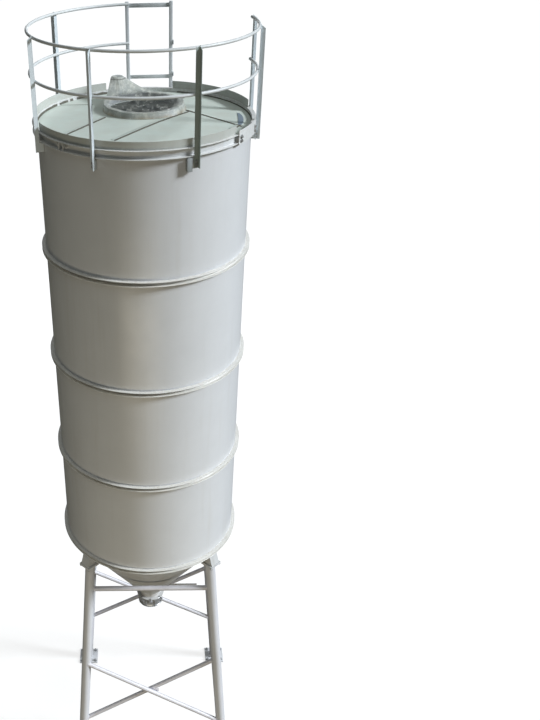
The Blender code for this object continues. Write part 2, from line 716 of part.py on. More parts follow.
def build_silo():
    clear_scene()
    parts = named_collection("cement_silo")
    cutters = named_collection("cement_silo_cutters")
    white = paint("white_paint", (0.68, 0.69, 0.70), 0.45, 0.0)
    steel = paint("valve_steel", (0.55, 0.56, 0.58), 0.35, 0.8)
    dark = paint("dark_iron", (0.10, 0.10, 0.11), 0.5, 0.3)
    film = paint("plastic_film", (0.75, 0.74, 0.68), 0.3, 0.0)
    make_courses(parts, white)
    make_hoops(parts, white)
    make_curb(parts, white)
    make_toe_boards(parts, white)
    collar_top = make_roof(parts, cutters, white)
    stub_top = make_stub(parts, white)
    make_film(parts, film, collar_top, stub_top)
    make_cone(parts, white)
    make_valve(parts, cutters, steel, dark)
    leg_cutters = make_leg_cutters(cutters)
    make_legs(parts, cutters, white)
    make_brackets(parts, cutters, white)
    make_bars(parts, leg_cutters, white)
    wall = make_wall_cutter(cutters)
    make_posts(parts, cutters, wall, white)
    make_rails(parts, white)
    make_ladder(parts, cutters, white)
    make_ladder_brackets(parts, cutters, wall, white)


build_silo()
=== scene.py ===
from math import acos, atan2, cos, degrees, pi, radians, sin, sqrt

import bmesh
import bpy
from mathutils import Matrix, Vector, noise


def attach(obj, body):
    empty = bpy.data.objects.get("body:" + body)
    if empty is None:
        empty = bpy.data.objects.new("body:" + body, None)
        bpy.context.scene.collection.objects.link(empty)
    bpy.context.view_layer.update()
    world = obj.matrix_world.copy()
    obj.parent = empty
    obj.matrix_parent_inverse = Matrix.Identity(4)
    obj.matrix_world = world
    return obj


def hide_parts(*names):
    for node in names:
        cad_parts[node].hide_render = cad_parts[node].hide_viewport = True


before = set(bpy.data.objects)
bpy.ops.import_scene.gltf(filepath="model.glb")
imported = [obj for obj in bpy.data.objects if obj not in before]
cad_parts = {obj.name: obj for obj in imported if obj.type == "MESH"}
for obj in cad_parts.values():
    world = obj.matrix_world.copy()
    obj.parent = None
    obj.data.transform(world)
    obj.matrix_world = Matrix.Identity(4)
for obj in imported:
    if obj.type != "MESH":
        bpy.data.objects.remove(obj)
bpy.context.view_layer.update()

# Camera
# It stands in front of the bin, about 3 m above its roof, and looks down on it. The lens shift puts
# the bin left of the middle, where the photo has it.
CAMERA_PLACE = Vector((0.0, -10.535, 13.696))
LOOK_DOWN = radians(33.46)
LOOK_LEFT = radians(1.36)
CAMERA_TILT = radians(1.54)
FOCAL_PIXELS = 896.7
PHOTO_SIZE = (540, 720)
AXIS_PIXEL = (130.0, 400.0)
camera_data = bpy.data.cameras.new("photo_camera")
camera_data.sensor_width = 36.0
camera_data.lens = FOCAL_PIXELS / PHOTO_SIZE[1] * camera_data.sensor_width
camera_data.shift_x = (PHOTO_SIZE[0] / 2 - AXIS_PIXEL[0]) / PHOTO_SIZE[1]
camera_data.shift_y = (AXIS_PIXEL[1] - PHOTO_SIZE[1] / 2) / PHOTO_SIZE[1]
camera = bpy.data.objects.new("photo_camera", camera_data)
bpy.context.scene.collection.objects.link(camera)
forward = Vector((-sin(LOOK_LEFT) * cos(LOOK_DOWN), cos(LOOK_LEFT) * cos(LOOK_DOWN), -sin(LOOK_DOWN)))
level_right = Vector((cos(LOOK_LEFT), sin(LOOK_LEFT), 0.0))
level_up = level_right.cross(forward)
right = cos(CAMERA_TILT) * level_right - sin(CAMERA_TILT) * level_up
upward = sin(CAMERA_TILT) * level_right + cos(CAMERA_TILT) * level_up
turned = Matrix((right, upward, -forward)).transposed().to_4x4()
camera.matrix_world = Matrix.Translation(CAMERA_PLACE) @ turned
bpy.context.scene.camera = camera
bpy.context.scene.view_settings.view_transform = "Standard"

# Legs and foot plates
# Four round steel tubes of 146 mm, leaning out to the corners, with a square plate welded to each
# end. The foot plate is held to the ground by four anchor bolts. Brushed with pale grey paint.
BODY = "silo"
FLAP = "valve_flap"
BIN_RADIUS = 1.250
BIN_BOTTOM = 4.650
COURSE_HEIGHT = 1.500
COURSES = 4
BIN_TOP = BIN_BOTTOM + COURSES * COURSE_HEIGHT
CORNERS = {"front_right": (1, -1), "rear_right": (1, 1), "rear_left": (-1, 1), "front_left": (-1, -1)}
LEG_RADIUS = 0.073
LEG_TOP_REACH = 0.860
LEG_BATTER = 0.0742
LEG_PLATE = 0.024
LEG_HEAD_DROP = 0.205
LEG_HEAD_PLATE = 0.200
HEAD_RADIUS = 1.257
FOOT_PLATE = 0.340
ANCHOR_INSET = 0.045
LEG_COLOUR = (0.66, 0.67, 0.71)


def new_piece(name, work, sharp=40.0):
    bmesh.ops.recalc_face_normals(work, faces=work.faces)
    mesh = bpy.data.meshes.new(name)
    work.to_mesh(mesh)
    work.free()
    mesh.shade_smooth()
    mesh.set_sharp_from_angle(angle=radians(sharp))
    piece = bpy.data.objects.new(name, mesh)
    bpy.context.scene.collection.objects.link(piece)
    return piece


def dress(piece, material, body=BODY, replaces=()):
    piece.data.materials.clear()
    piece.data.materials.append(material)
    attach(piece, body)
    if replaces:
        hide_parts(*replaces)
    return piece


def add_tube(work, points, radius, sides=28):
    # A round bar through the points, its ends closed
    rings = []
    points = [Vector(point) for point in points]
    for index, point in enumerate(points):
        before = points[max(index - 1, 0)]
        after = points[min(index + 1, len(points) - 1)]
        along = (after - before).normalized()
        guide = Vector((0, 0, 1)) if abs(along.z) < 0.9 else Vector((0, 1, 0))
        across = along.cross(guide).normalized()
        rise = across.cross(along)
        ring = []
        for side in range(sides):
            angle = 2 * pi * side / sides
            ring.append(work.verts.new(point + radius * (cos(angle) * across + sin(angle) * rise)))
        rings.append(ring)
    for first, second in zip(rings, rings[1:]):
        for side in range(sides):
            after = (side + 1) % sides
            work.faces.new((first[side], first[after], second[after], second[side]))
    work.faces.new(rings[0])
    work.faces.new(rings[-1])


def add_block(work, size, place, turn=None, ease=0.0015):
    # A plate or bar with its edges eased
    part = bmesh.new()
    bmesh.ops.create_cube(part, size=1.0)
    bmesh.ops.scale(part, vec=Vector(size), verts=part.verts)
    if ease:
        bmesh.ops.bevel(part, geom=part.edges[:], offset=min(ease, min(size) * 0.3), segments=2,
                        profile=0.5, affect="EDGES")
    matrix = Matrix.Translation(place) @ (turn.to_4x4() if turn is not None else Matrix())
    bmesh.ops.transform(part, matrix=matrix, verts=part.verts)
    mesh = bpy.data.meshes.new("block")
    part.to_mesh(mesh)
    part.free()
    work.from_mesh(mesh)
    bpy.data.meshes.remove(mesh)


def add_bolt(work, place, axis, across=0.018, washer=True):
    # A hexagon head on its washer, standing on a face that looks along the axis
    axis = Vector(axis).normalized()
    turn = axis.to_track_quat("Z", "Y").to_matrix().to_4x4()
    place = Vector(place)
    thick = across * 0.14
    if washer:
        at = Matrix.Translation(place + axis * thick / 2) @ turn
        bmesh.ops.create_cone(work, cap_ends=True, segments=16, radius1=across * 0.95, radius2=across * 0.95,
                              depth=thick, matrix=at)
    head = across * 0.62
    at = Matrix.Translation(place + axis * (thick + head / 2)) @ turn
    bmesh.ops.create_cone(work, cap_ends=True, segments=6, radius1=across * 0.577, radius2=across * 0.54,
                          depth=head, matrix=at)


def add_bead(work, spots, guide, size=0.006, closed=True, seed=0.0, sides=6):
    # A rippled bead of weld metal laid through the spots
    guide = Vector(guide).normalized()
    count = len(spots)
    rings = []
    for index, spot in enumerate(spots):
        before = spots[index - 1] if closed or index else spot
        after = spots[(index + 1) % count] if closed or index < count - 1 else spot
        across = (after - before).cross(guide).normalized()
        swell = size * (0.85 + 0.45 * noise.noise(Vector((index * 0.9, seed, size * 500))))
        rings.append([work.verts.new(spot + swell * (cos(turn) * across + sin(turn) * guide))
                      for turn in (2 * pi * side / sides for side in range(sides))])
    pairs = list(zip(rings, rings[1:])) + ([(rings[-1], rings[0])] if closed else [])
    for first, second in pairs:
        for side in range(sides):
            after = (side + 1) % sides
            work.faces.new((first[side], first[after], second[after], second[side]))
    if not closed:
        work.faces.new(rings[0])
        work.faces.new(rings[-1])


def circle_spots(centre, axis, radius, count=72):
    axis = Vector(axis).normalized()
    guide = Vector((0, 0, 1)) if abs(axis.z) < 0.9 else Vector((0, 1, 0))
    across = axis.cross(guide).normalized()
    rise = across.cross(axis)
    turns = [2 * pi * step / count for step in range(count)]
    return [Vector(centre) + radius * (cos(turn) * across + sin(turn) * rise) for turn in turns]


def shader_group(name, inputs, outputs):
    # An empty node group with named sockets, and its two end nodes
    group = bpy.data.node_groups.new(name, "ShaderNodeTree")
    for label, kind, value in inputs:
        socket = group.interface.new_socket(label, in_out="INPUT", socket_type=kind)
        socket.default_value = value
    for label, kind in outputs:
        group.interface.new_socket(label, in_out="OUTPUT", socket_type=kind)
    return group, group.nodes.new("NodeGroupInput"), group.nodes.new("NodeGroupOutput")


def math_node(tree, operation, first, second=None, third=None, clamp=False):
    node = tree.nodes.new("ShaderNodeMath")
    node.operation = operation
    node.use_clamp = clamp
    for socket, value in zip(node.inputs, (first, second, third)):
        if value is None:
            continue
        if isinstance(value, (int, float)):
            socket.default_value = value
        else:
            tree.links.new(value, socket)
    return node.outputs[0]


def noise_node(tree, place, scale, detail=4.0, roughness=0.55):
    node = tree.nodes.new("ShaderNodeTexNoise")
    tree.links.new(place, node.inputs["Vector"])
    if isinstance(scale, (int, float)):
        node.inputs["Scale"].default_value = scale
    else:
        tree.links.new(scale, node.inputs["Scale"])
    node.inputs["Detail"].default_value = detail
    node.inputs["Roughness"].default_value = roughness
    return node.outputs["Fac"]


def stretched(tree, place, scale):
    node = tree.nodes.new("ShaderNodeMapping")
    tree.links.new(place, node.inputs["Vector"])
    node.inputs["Scale"].default_value = scale
    return node.outputs["Vector"]


def window(tree, value, low, high):
    # 0 below low and 1 above high
    node = tree.nodes.new("ShaderNodeMapRange")
    node.clamp = True
    tree.links.new(value, node.inputs["Value"])
    node.inputs["From Min"].default_value = low
    node.inputs["From Max"].default_value = high
    return node.outputs["Result"]


def mixed(tree, share, first, second):
    node = tree.nodes.new("ShaderNodeMix")
    node.data_type = "RGBA"
    if isinstance(share, (int, float)):
        node.inputs[0].default_value = share
    else:
        tree.links.new(share, node.inputs[0])
    for socket, value in ((node.inputs[6], first), (node.inputs[7], second)):
        if isinstance(value, tuple):
            socket.default_value = (*value, 1.0)
        else:
            tree.links.new(value, socket)
    return node.outputs[2]


def make_rain_streaks():
    # Where water has run down and left grime, in long upright streaks
    group, enter, leave = shader_group("rain_streaks", (("Scale", "NodeSocketFloat", 9.0),
                                                        ("Cover", "NodeSocketFloat", 0.5)),
                                       (("Mask", "NodeSocketFloat"),))
    place = group.nodes.new("ShaderNodeTexCoord").outputs["Object"]
    thin = noise_node(group, stretched(group, place, (1.0, 1.0, 0.06)), enter.outputs["Scale"], 5.0, 0.6)
    broad = noise_node(group, stretched(group, place, (1.0, 1.0, 0.25)), 1.7, 3.0)
    both = math_node(group, "MULTIPLY", window(group, thin, 0.50, 0.78), window(group, broad, 0.35, 0.70))
    mask = math_node(group, "MULTIPLY", both, enter.outputs["Cover"], clamp=True)
    group.links.new(mask, leave.inputs["Mask"])
    return group


def make_brush_grain():
    # The skin of brushed or sprayed paint: a fine ripple over slow unevenness
    group, enter, leave = shader_group("paint_skin", (("Ripple", "NodeSocketFloat", 220.0),
                                                      ("Depth", "NodeSocketFloat", 0.12)),
                                       (("Normal", "NodeSocketVector"), ("Tone", "NodeSocketFloat")))
    place = group.nodes.new("ShaderNodeTexCoord").outputs["Object"]
    ripple = noise_node(group, place, enter.outputs["Ripple"], 2.0)
    slow = noise_node(group, place, 6.0, 3.0)
    height = math_node(group, "MULTIPLY_ADD", slow, 2.0, ripple)
    bump = group.nodes.new("ShaderNodeBump")
    bump.inputs["Distance"].default_value = 0.0006
    group.links.new(enter.outputs["Depth"], bump.inputs["Strength"])
    group.links.new(height, bump.inputs["Height"])
    group.links.new(bump.outputs["Normal"], leave.inputs["Normal"])
    tone = noise_node(group, place, 2.3, 6.0, 0.62)
    group.links.new(window(group, tone, 0.30, 0.72), leave.inputs["Tone"])
    return group


def make_worn_edges():
    # Paint rubbed thin along convex edges, broken up by a fine noise
    group, enter, leave = shader_group("worn_edges", (("Amount", "NodeSocketFloat", 1.0),),
                                       (("Mask", "NodeSocketFloat"),))
    point = group.nodes.new("ShaderNodeNewGeometry").outputs["Pointiness"]
    place = group.nodes.new("ShaderNodeTexCoord").outputs["Object"]
    broken = window(group, noise_node(group, place, 38.0, 5.0, 0.7), 0.47, 0.60)
    edge = math_node(group, "MULTIPLY", window(group, point, 0.53, 0.60), broken)
    mask = math_node(group, "MULTIPLY", edge, enter.outputs["Amount"], clamp=True)
    group.links.new(mask, leave.inputs["Mask"])
    return group


def make_settled_dust():
    # Cement dust that lies on whatever faces up
    group, enter, leave = shader_group("settled_dust", (("Cover", "NodeSocketFloat", 0.5),),
                                       (("Mask", "NodeSocketFloat"),))
    split = group.nodes.new("ShaderNodeSeparateXYZ")
    group.links.new(group.nodes.new("ShaderNodeNewGeometry").outputs["Normal"], split.inputs[0])
    place = group.nodes.new("ShaderNodeTexCoord").outputs["Object"]
    cloud = window(group, noise_node(group, place, 5.5, 7.0, 0.65), 0.34, 0.66)
    top = window(group, split.outputs["Z"], 0.55, 0.98)
    both = math_node(group, "MULTIPLY", top, cloud)
    mask = math_node(group, "MULTIPLY", both, enter.outputs["Cover"], clamp=True)
    group.links.new(mask, leave.inputs["Mask"])
    return group


rain_streaks = make_rain_streaks()
paint_skin = make_brush_grain()
worn_edges = make_worn_edges()
settled_dust = make_settled_dust()


def placed(tree, group, **values):
    node = tree.nodes.new("ShaderNodeGroup")
    node.node_tree = group
    for label, value in values.items():
        node.inputs[label].default_value = value
    return node.outputs


def painted_steel(name, colour, grime=(0.30, 0.27, 0.21), streaks=0.35, wear=0.5, dust=0.35, gloss=0.42,
                  ripple=220.0, depth=0.12, spread=0.09, worn=(0.26, 0.21, 0.17)):
    # Steel under one coat of paint, with its grime, dust and rubbed edges
    material = bpy.data.materials.new(name)
    material.use_nodes = True
    tree = material.node_tree
    shader = tree.nodes["Principled BSDF"]
    skin = placed(tree, paint_skin, Ripple=ripple, Depth=depth)
    darker = tuple(channel * (1.0 - spread) for channel in colour)
    base = mixed(tree, skin["Tone"], darker, colour)
    base = mixed(tree, placed(tree, rain_streaks, Scale=9.0, Cover=streaks)["Mask"], base, grime)
    base = mixed(tree, placed(tree, settled_dust, Cover=dust)["Mask"], base, (0.55, 0.52, 0.45))
    rubbed = placed(tree, worn_edges, Amount=wear)["Mask"]
    base = mixed(tree, rubbed, base, worn)
    tree.links.new(base, shader.inputs["Base Color"])
    rough = math_node(tree, "MULTIPLY_ADD", skin["Tone"], -0.10, gloss + 0.06)
    tree.links.new(math_node(tree, "MULTIPLY_ADD", rubbed, 0.3, rough), shader.inputs["Roughness"])
    tree.links.new(skin["Normal"], shader.inputs["Normal"])
    return material


def zinc_steel(name, colour=(0.42, 0.43, 0.44), rust=0.35):
    # Plated bolts and washers, dulled and touched with rust
    material = bpy.data.materials.new(name)
    material.use_nodes = True
    tree = material.node_tree
    shader = tree.nodes["Principled BSDF"]
    place = tree.nodes.new("ShaderNodeTexCoord").outputs["Object"]
    spots = window(tree, noise_node(tree, place, 60.0, 5.0, 0.7), 0.52, 0.70)
    share = math_node(tree, "MULTIPLY", spots, rust)
    tree.links.new(mixed(tree, share, colour, (0.22, 0.12, 0.07)), shader.inputs["Base Color"])
    tree.links.new(math_node(tree, "MULTIPLY_ADD", share, -0.8, 0.75), shader.inputs["Metallic"])
    tree.links.new(math_node(tree, "MULTIPLY_ADD", share, 0.5, 0.42), shader.inputs["Roughness"])
    return material


leg_paint = painted_steel("leg_paint", LEG_COLOUR, streaks=0.25, wear=0.0, dust=0.2, gloss=0.40)
bolt_zinc = zinc_steel("bolt_zinc")


def leg_point(corner, drop):
    reach = LEG_TOP_REACH + LEG_BATTER * drop
    return Vector((corner[0] * reach, corner[1] * reach, BIN_BOTTOM - drop))


for label, corner in CORNERS.items():
    head, foot = leg_point(corner, LEG_HEAD_DROP), leg_point(corner, BIN_BOTTOM - LEG_PLATE / 2)
    lean = (head - foot).normalized()
    heading = Matrix.Rotation(atan2(corner[1], corner[0]), 3, "Z")
    work = bmesh.new()
    add_tube(work, [foot, head], LEG_RADIUS, 40)
    add_block(work, (FOOT_PLATE, FOOT_PLATE, LEG_PLATE), (foot.x, foot.y, LEG_PLATE / 2), ease=0.003)
    cap_place = heading @ Vector((HEAD_RADIUS, 0, 0))
    add_block(work, (LEG_HEAD_PLATE, LEG_HEAD_PLATE, LEG_PLATE), (cap_place.x, cap_place.y, head.z), heading)
    for spot, size in ((foot + lean * (LEG_PLATE * 0.62), 0.008), (head - lean * (LEG_PLATE * 0.62), 0.007)):
        add_bead(work, circle_spots(spot, lean, LEG_RADIUS), lean, size, seed=corner[0] + 3 * corner[1])
    dress(new_piece(f"leg_tube_{label}", work), leg_paint, replaces=(f"leg_{label}",))
    work = bmesh.new()
    spread = FOOT_PLATE / 2 - ANCHOR_INSET
    for x in (-spread, spread):
        for y in (-spread, spread):
            spot = Vector((foot.x + x, foot.y + y, LEG_PLATE))
            add_bolt(work, spot, (0, 0, 1), 0.030)
            add_tube(work, [spot, spot + Vector((0, 0, 0.050))], 0.010, 12)
    dress(new_piece(f"anchor_bolts_{label}", work), bolt_zinc)

# Leg brackets
# A seat plate on each leg head, with two gussets and a sloping outer plate that are welded up to
# the base hoop. Two bolts at the outer edge and two inside join it to the plate below.
bracket_paint = painted_steel("bracket_paint", (0.58, 0.59, 0.60), streaks=0.35, wear=0.0, dust=0.2,
                              gloss=0.45)
SEAT_HEIGHT = BIN_BOTTOM - LEG_HEAD_DROP + LEG_PLATE / 2
for label, corner in CORNERS.items():
    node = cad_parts[f"leg_bracket_{label}"]
    node.data.materials.clear()
    node.data.materials.append(bracket_paint)
    heading = Matrix.Rotation(atan2(corner[1], corner[0]), 3, "Z")
    work = bmesh.new()
    for out, side in ((-0.075, -0.036), (-0.075, 0.036), (0.030, -0.040), (0.030, 0.040)):
        spot = heading @ Vector((HEAD_RADIUS + out, side, 0))
        spot.z = SEAT_HEIGHT + 0.0145
        add_bolt(work, spot, (0, 0, 1), 0.024)
    for side in (-0.086, 0.086):
        spot = heading @ Vector((HEAD_RADIUS + 0.088, side, 0))
        spot.z = SEAT_HEIGHT - LEG_PLATE - 0.0003
        add_bolt(work, spot, (0, 0, -1), 0.020)
    dress(new_piece(f"bracket_bolts_{label}", work), bolt_zinc)
    work = bmesh.new()
    across = heading @ Vector((0, 1, 0))
    for side in (-1, 1):
        low = heading @ Vector((HEAD_RADIUS - 0.092, side * 0.074, 0))
        high = heading @ Vector((HEAD_RADIUS + 0.080, side * 0.074, 0))
        rise = Vector((0, 0, SEAT_HEIGHT + 0.016))
        add_bead(work, [low.lerp(high, step / 24) + rise for step in range(25)], across, 0.0045, False, side)
    rise = Vector((0, 0, BIN_BOTTOM - 0.030))
    reach = heading @ Vector((BIN_RADIUS + 0.050, 0, 0)) + rise
    spots = [reach + across * (0.150 * step / 20 - 0.075) for step in range(21)]
    add_bead(work, spots, (0, 0, 1), 0.005, False, 7)
    dress(new_piece(f"bracket_welds_{label}", work), bracket_paint)

# Tie bars and crossed braces
# Round tubes between the legs: a level one on each side under the bin, and a crossed pair lower
# down, one bar outside the other, their ends shaped to the leg and welded, joined by a small plate.
TIE_RADIUS = 0.038
TIE_DROP = 0.690
BRACE_RADIUS = 0.035
BRACE_TOP_DROP = 2.170
BRACE_LOW_DROP = 3.500
BRACE_LAP = 0.0003
bar_paint = painted_steel("bar_paint", (0.67, 0.66, 0.71), grime=(0.30, 0.27, 0.24), streaks=0.25, wear=0.0,
                          dust=0.1, gloss=0.38)
SIDES = {"right": ("front_right", "rear_right", (1, 0)), "rear": ("rear_right", "rear_left", (0, 1)),
         "left": ("rear_left", "front_left", (-1, 0)), "front": ("front_left", "front_right", (0, -1))}


def end_at_leg(start, end, corner, radius, offset=0.0):
    # Where a bar that is cut square ends inside the leg that it runs into
    along = (end - start).normalized()
    axis = (leg_point(corner, BIN_BOTTOM) - leg_point(corner, 0.0)).normalized()
    across = along - axis * along.dot(axis)
    stand = sqrt(max(0.0001, (LEG_RADIUS - 0.002) ** 2 - (offset + radius) ** 2))
    return start + along * (stand / across.length)


def saddle_spots(start, end, corner, radius, count=48):
    # The line where a bar meets the round face of a leg
    along = (end - start).normalized()
    origin = leg_point(corner, 0.0)
    axis = (leg_point(corner, BIN_BOTTOM) - origin).normalized()
    spots = []
    for spot in circle_spots(start, along, radius, count):
        away = spot - origin
        away -= axis * away.dot(axis)
        flow = along - axis * along.dot(axis)
        half = away.dot(flow) / flow.dot(flow)
        rest = (away.dot(away) - LEG_RADIUS ** 2) / flow.dot(flow)
        spots.append(spot + along * (-half + sqrt(max(0.0, half ** 2 - rest))))
    return spots


for side, (first, second, outward) in SIDES.items():
    first_corner, second_corner = CORNERS[first], CORNERS[second]
    face = Vector((*outward, 0))
    bars = [("tie_tube", TIE_RADIUS, TIE_DROP, TIE_DROP, 0.0, f"tie_bar_{side}"),
            ("brace_tube_outer", BRACE_RADIUS, BRACE_TOP_DROP, BRACE_LOW_DROP, BRACE_RADIUS + BRACE_LAP,
             f"brace_{side}_outer"),
            ("brace_tube_inner", BRACE_RADIUS, BRACE_LOW_DROP, BRACE_TOP_DROP, -BRACE_RADIUS - BRACE_LAP,
             f"brace_{side}_inner")]
    for name, radius, first_drop, second_drop, shift, node in bars:
        start = leg_point(first_corner, first_drop) + face * shift
        end = leg_point(second_corner, second_drop) + face * shift
        along = (end - start).normalized()
        near = end_at_leg(start, end, first_corner, radius, abs(shift))
        far = end_at_leg(end, start, second_corner, radius, abs(shift))
        work = bmesh.new()
        add_tube(work, [near, far], radius, 30)
        for here, there, corner in ((start, end, first_corner), (end, start, second_corner)):
            add_bead(work, saddle_spots(here, there, corner, radius), along, 0.005, seed=shift * 90)
        dress(new_piece(f"{name}_{side}", work), bar_paint, replaces=(node,))
    top_reach = LEG_TOP_REACH + LEG_BATTER * BRACE_TOP_DROP
    low_reach = LEG_TOP_REACH + LEG_BATTER * BRACE_LOW_DROP
    share = top_reach / (top_reach + low_reach)
    reach = top_reach + (low_reach - top_reach) * share
    crossing = face * reach
    crossing.z = BIN_BOTTOM - BRACE_TOP_DROP - (BRACE_LOW_DROP - BRACE_TOP_DROP) * share
    level = Vector((0, 0, 1)).cross(face)
    turn = Matrix((level, face, Vector((0, 0, 1)))).transposed()
    work = bmesh.new()
    for way in (-1, 1):
        add_block(work, (0.075, 0.010, 0.070), crossing + level * (way * 0.075), turn)
    dress(new_piece(f"crossing_gussets_{side}", work), bar_paint)

# Bin shell
# Four courses of 5 mm plate, rolled to 2.5 m across and butt welded to each other, each with one
# upright seam at the back. Sprayed in one coat of off-white gloss that has gone a little chalky.
PLATE = 0.005
GAP = 0.0003
SHELL_COLOUR = (0.66, 0.67, 0.69)
UPRIGHT_SEAMS = (112.0, 171.0, 128.0, 158.0)


def polar(azimuth, radius, height):
    return Vector((radius * sin(radians(azimuth)), -radius * cos(radians(azimuth)), height))


def add_ring(work, profile, start=0.0, sweep=360.0, steps=180, wave=None):
    # A closed outline of (radius, height) points, carried round the axis of the bin
    closed = sweep >= 360.0
    rings = []
    for step in range(steps if closed else steps + 1):
        azimuth = start + sweep * step / steps
        shifts = [wave(azimuth, height) if wave else 0.0 for _, height in profile]
        rings.append([work.verts.new(polar(azimuth, radius + shift, height))
                      for (radius, height), shift in zip(profile, shifts)])
    count = len(profile)
    pairs = list(zip(rings, rings[1:])) + ([(rings[-1], rings[0])] if closed else [])
    for first, second in pairs:
        for index in range(count):
            after = (index + 1) % count
            work.faces.new((first[index], second[index], second[after], first[after]))
    if not closed:
        work.faces.new(rings[0])
        work.faces.new(rings[-1])


def plate_dish(azimuth, height):
    # Rolled plate is never quite true: it lies a little inside its circle between the seams
    angle = radians(azimuth)
    return -0.0012 * (0.5 + 0.5 * noise.noise(Vector((3 * sin(angle), 3 * cos(angle), height * 1.4))))


shell_paint = painted_steel("shell_paint", SHELL_COLOUR, grime=(0.40, 0.36, 0.29), streaks=0.22, wear=0.15,
                            dust=0.1, gloss=0.34, ripple=90.0, depth=0.05, spread=0.05)
for number in range(COURSES):
    low = BIN_BOTTOM + number * COURSE_HEIGHT
    high = low + COURSE_HEIGHT - GAP - (PLATE if number == COURSES - 1 else 0.0)
    rise = [low + (high - low) * index / 12 for index in range(13)]
    outline = [(BIN_RADIUS, height) for height in rise]
    outline += [(BIN_RADIUS - PLATE, high), (BIN_RADIUS - PLATE, low)]
    work = bmesh.new()
    add_ring(work, outline, wave=plate_dish)
    seam = UPRIGHT_SEAMS[number]
    spots = [polar(seam, BIN_RADIUS - 0.002, low + 0.03 + (high - low - 0.06) * step / 150)
             for step in range(151)]
    add_bead(work, spots, polar(seam, 1.0, 0.0), 0.0045, False, seam)
    dress(new_piece(f"rolled_course_{number + 1}", work), shell_paint,
          replaces=(f"shell_course_{number + 1}",))

# Hoops
# Rolled steel channel with its open side outward, stitch welded round the bin over each joint
# between courses and at its foot. The two thin edges catch the light as a pair of bright lines.
HOOP_RADIUS = BIN_RADIUS + 0.050
HOOP_HEIGHT = 0.058
HOOP_PLATE = 0.006
hoop_paint = painted_steel("hoop_paint", (0.76, 0.75, 0.72), grime=(0.34, 0.28, 0.20), streaks=0.3, wear=0.25,
                           dust=0.15, gloss=0.34, spread=0.08, worn=(0.38, 0.28, 0.19))


def channel_outline(low, high, reach=HOOP_RADIUS, back=BIN_RADIUS + GAP, plate=HOOP_PLATE):
    # A channel section, its flange tips rounded and its roots filled
    tip = plate * 0.3
    root = plate * 0.6
    lower = [(back, low), (reach - tip, low), (reach, low + tip), (reach, low + plate - tip),
             (reach - tip, low + plate), (back + plate + root, low + plate),
             (back + plate, low + plate + root)]
    return lower + [(radius, low + high - height) for radius, height in reversed(lower)]


for number in range(COURSES):
    middle = BIN_BOTTOM + number * COURSE_HEIGHT
    node = "base_hoop" if number == 0 else f"seam_hoop_{number}"
    work = bmesh.new()
    add_ring(work, channel_outline(middle - HOOP_HEIGHT / 2, middle + HOOP_HEIGHT / 2))
    for way in (-1, 1):
        line = middle + way * (HOOP_HEIGHT / 2 + 0.001)
        for stitch in range(24):
            spots = [polar(15 * stitch + 3 + 0.35 * step, BIN_RADIUS + 0.001, line) for step in range(22)]
            add_bead(work, spots, (0, 0, 1), 0.0035, False, stitch + way)
    dress(new_piece(f"{node}_channel", work), hoop_paint, replaces=(node,))

# Curb
# A deeper channel round the roof edge in three lengths, with a bolted joint at the front left. It
# stops short at the front right, where a wide cover plate bridges the gap.
CURB_LOW = BIN_TOP - 0.055
CURB_HIGH = CURB_LOW + 0.100
CURB_SEAM = degrees(0.0009 / BIN_RADIUS)
CURB_LENGTHS = (("curb_rear_right", 60.0, 112.5), ("curb_rear_left", 172.5, 142.5),
                ("curb_front", -45.0, 97.5))
curb_paint = painted_steel("curb_paint", (0.70, 0.71, 0.71), grime=(0.30, 0.25, 0.18), streaks=0.3, wear=0.3,
                           dust=0.15, gloss=0.38, spread=0.10, worn=(0.30, 0.22, 0.15))
for number, (node, start, sweep) in enumerate(CURB_LENGTHS):
    work = bmesh.new()
    add_ring(work, channel_outline(CURB_LOW, CURB_HIGH), start + number * CURB_SEAM, sweep, int(sweep))
    dress(new_piece(f"{node}_channel", work), curb_paint, replaces=(node,))
work = bmesh.new()
cover_inner = HOOP_RADIUS + GAP
cover_low, cover_high = CURB_LOW - 0.015, CURB_HIGH + 0.045
outline = [(cover_inner, cover_low), (cover_inner + 0.005, cover_low),
           (cover_inner + 0.006, cover_low + 0.001), (cover_inner + 0.006, cover_high - 0.001),
           (cover_inner + 0.005, cover_high),
           (cover_inner, cover_high)]
add_ring(work, outline, 52.5 + 3 * CURB_SEAM, 22.5, 40)
dress(new_piece("cover_plate_bent", work), curb_paint, replaces=("curb_cover_plate",))
work = bmesh.new()
for azimuth in (-46.2, -43.2):
    add_block(work, (0.012, 0.012, 0.088), polar(azimuth, HOOP_RADIUS - 0.014, (CURB_LOW + CURB_HIGH) / 2),
              Matrix.Rotation(radians(azimuth), 3, "Z"))
for azimuth in (-47.8, -41.6):
    spot = polar(azimuth, BIN_RADIUS + 0.0065, (CURB_LOW + CURB_HIGH) / 2)
    add_bolt(work, spot, polar(azimuth, 1, 0), 0.030)
dress(new_piece("curb_joint", work), curb_paint)
work = bmesh.new()
for azimuth, height in ((54.6, 10.665), (72.8, 10.665), (54.6, 10.620), (72.8, 10.620)):
    add_bolt(work, polar(azimuth, HOOP_RADIUS + 0.0063, height), polar(azimuth, 1, 0), 0.026)
dress(new_piece("cover_plate_bolts", work), bolt_zinc)

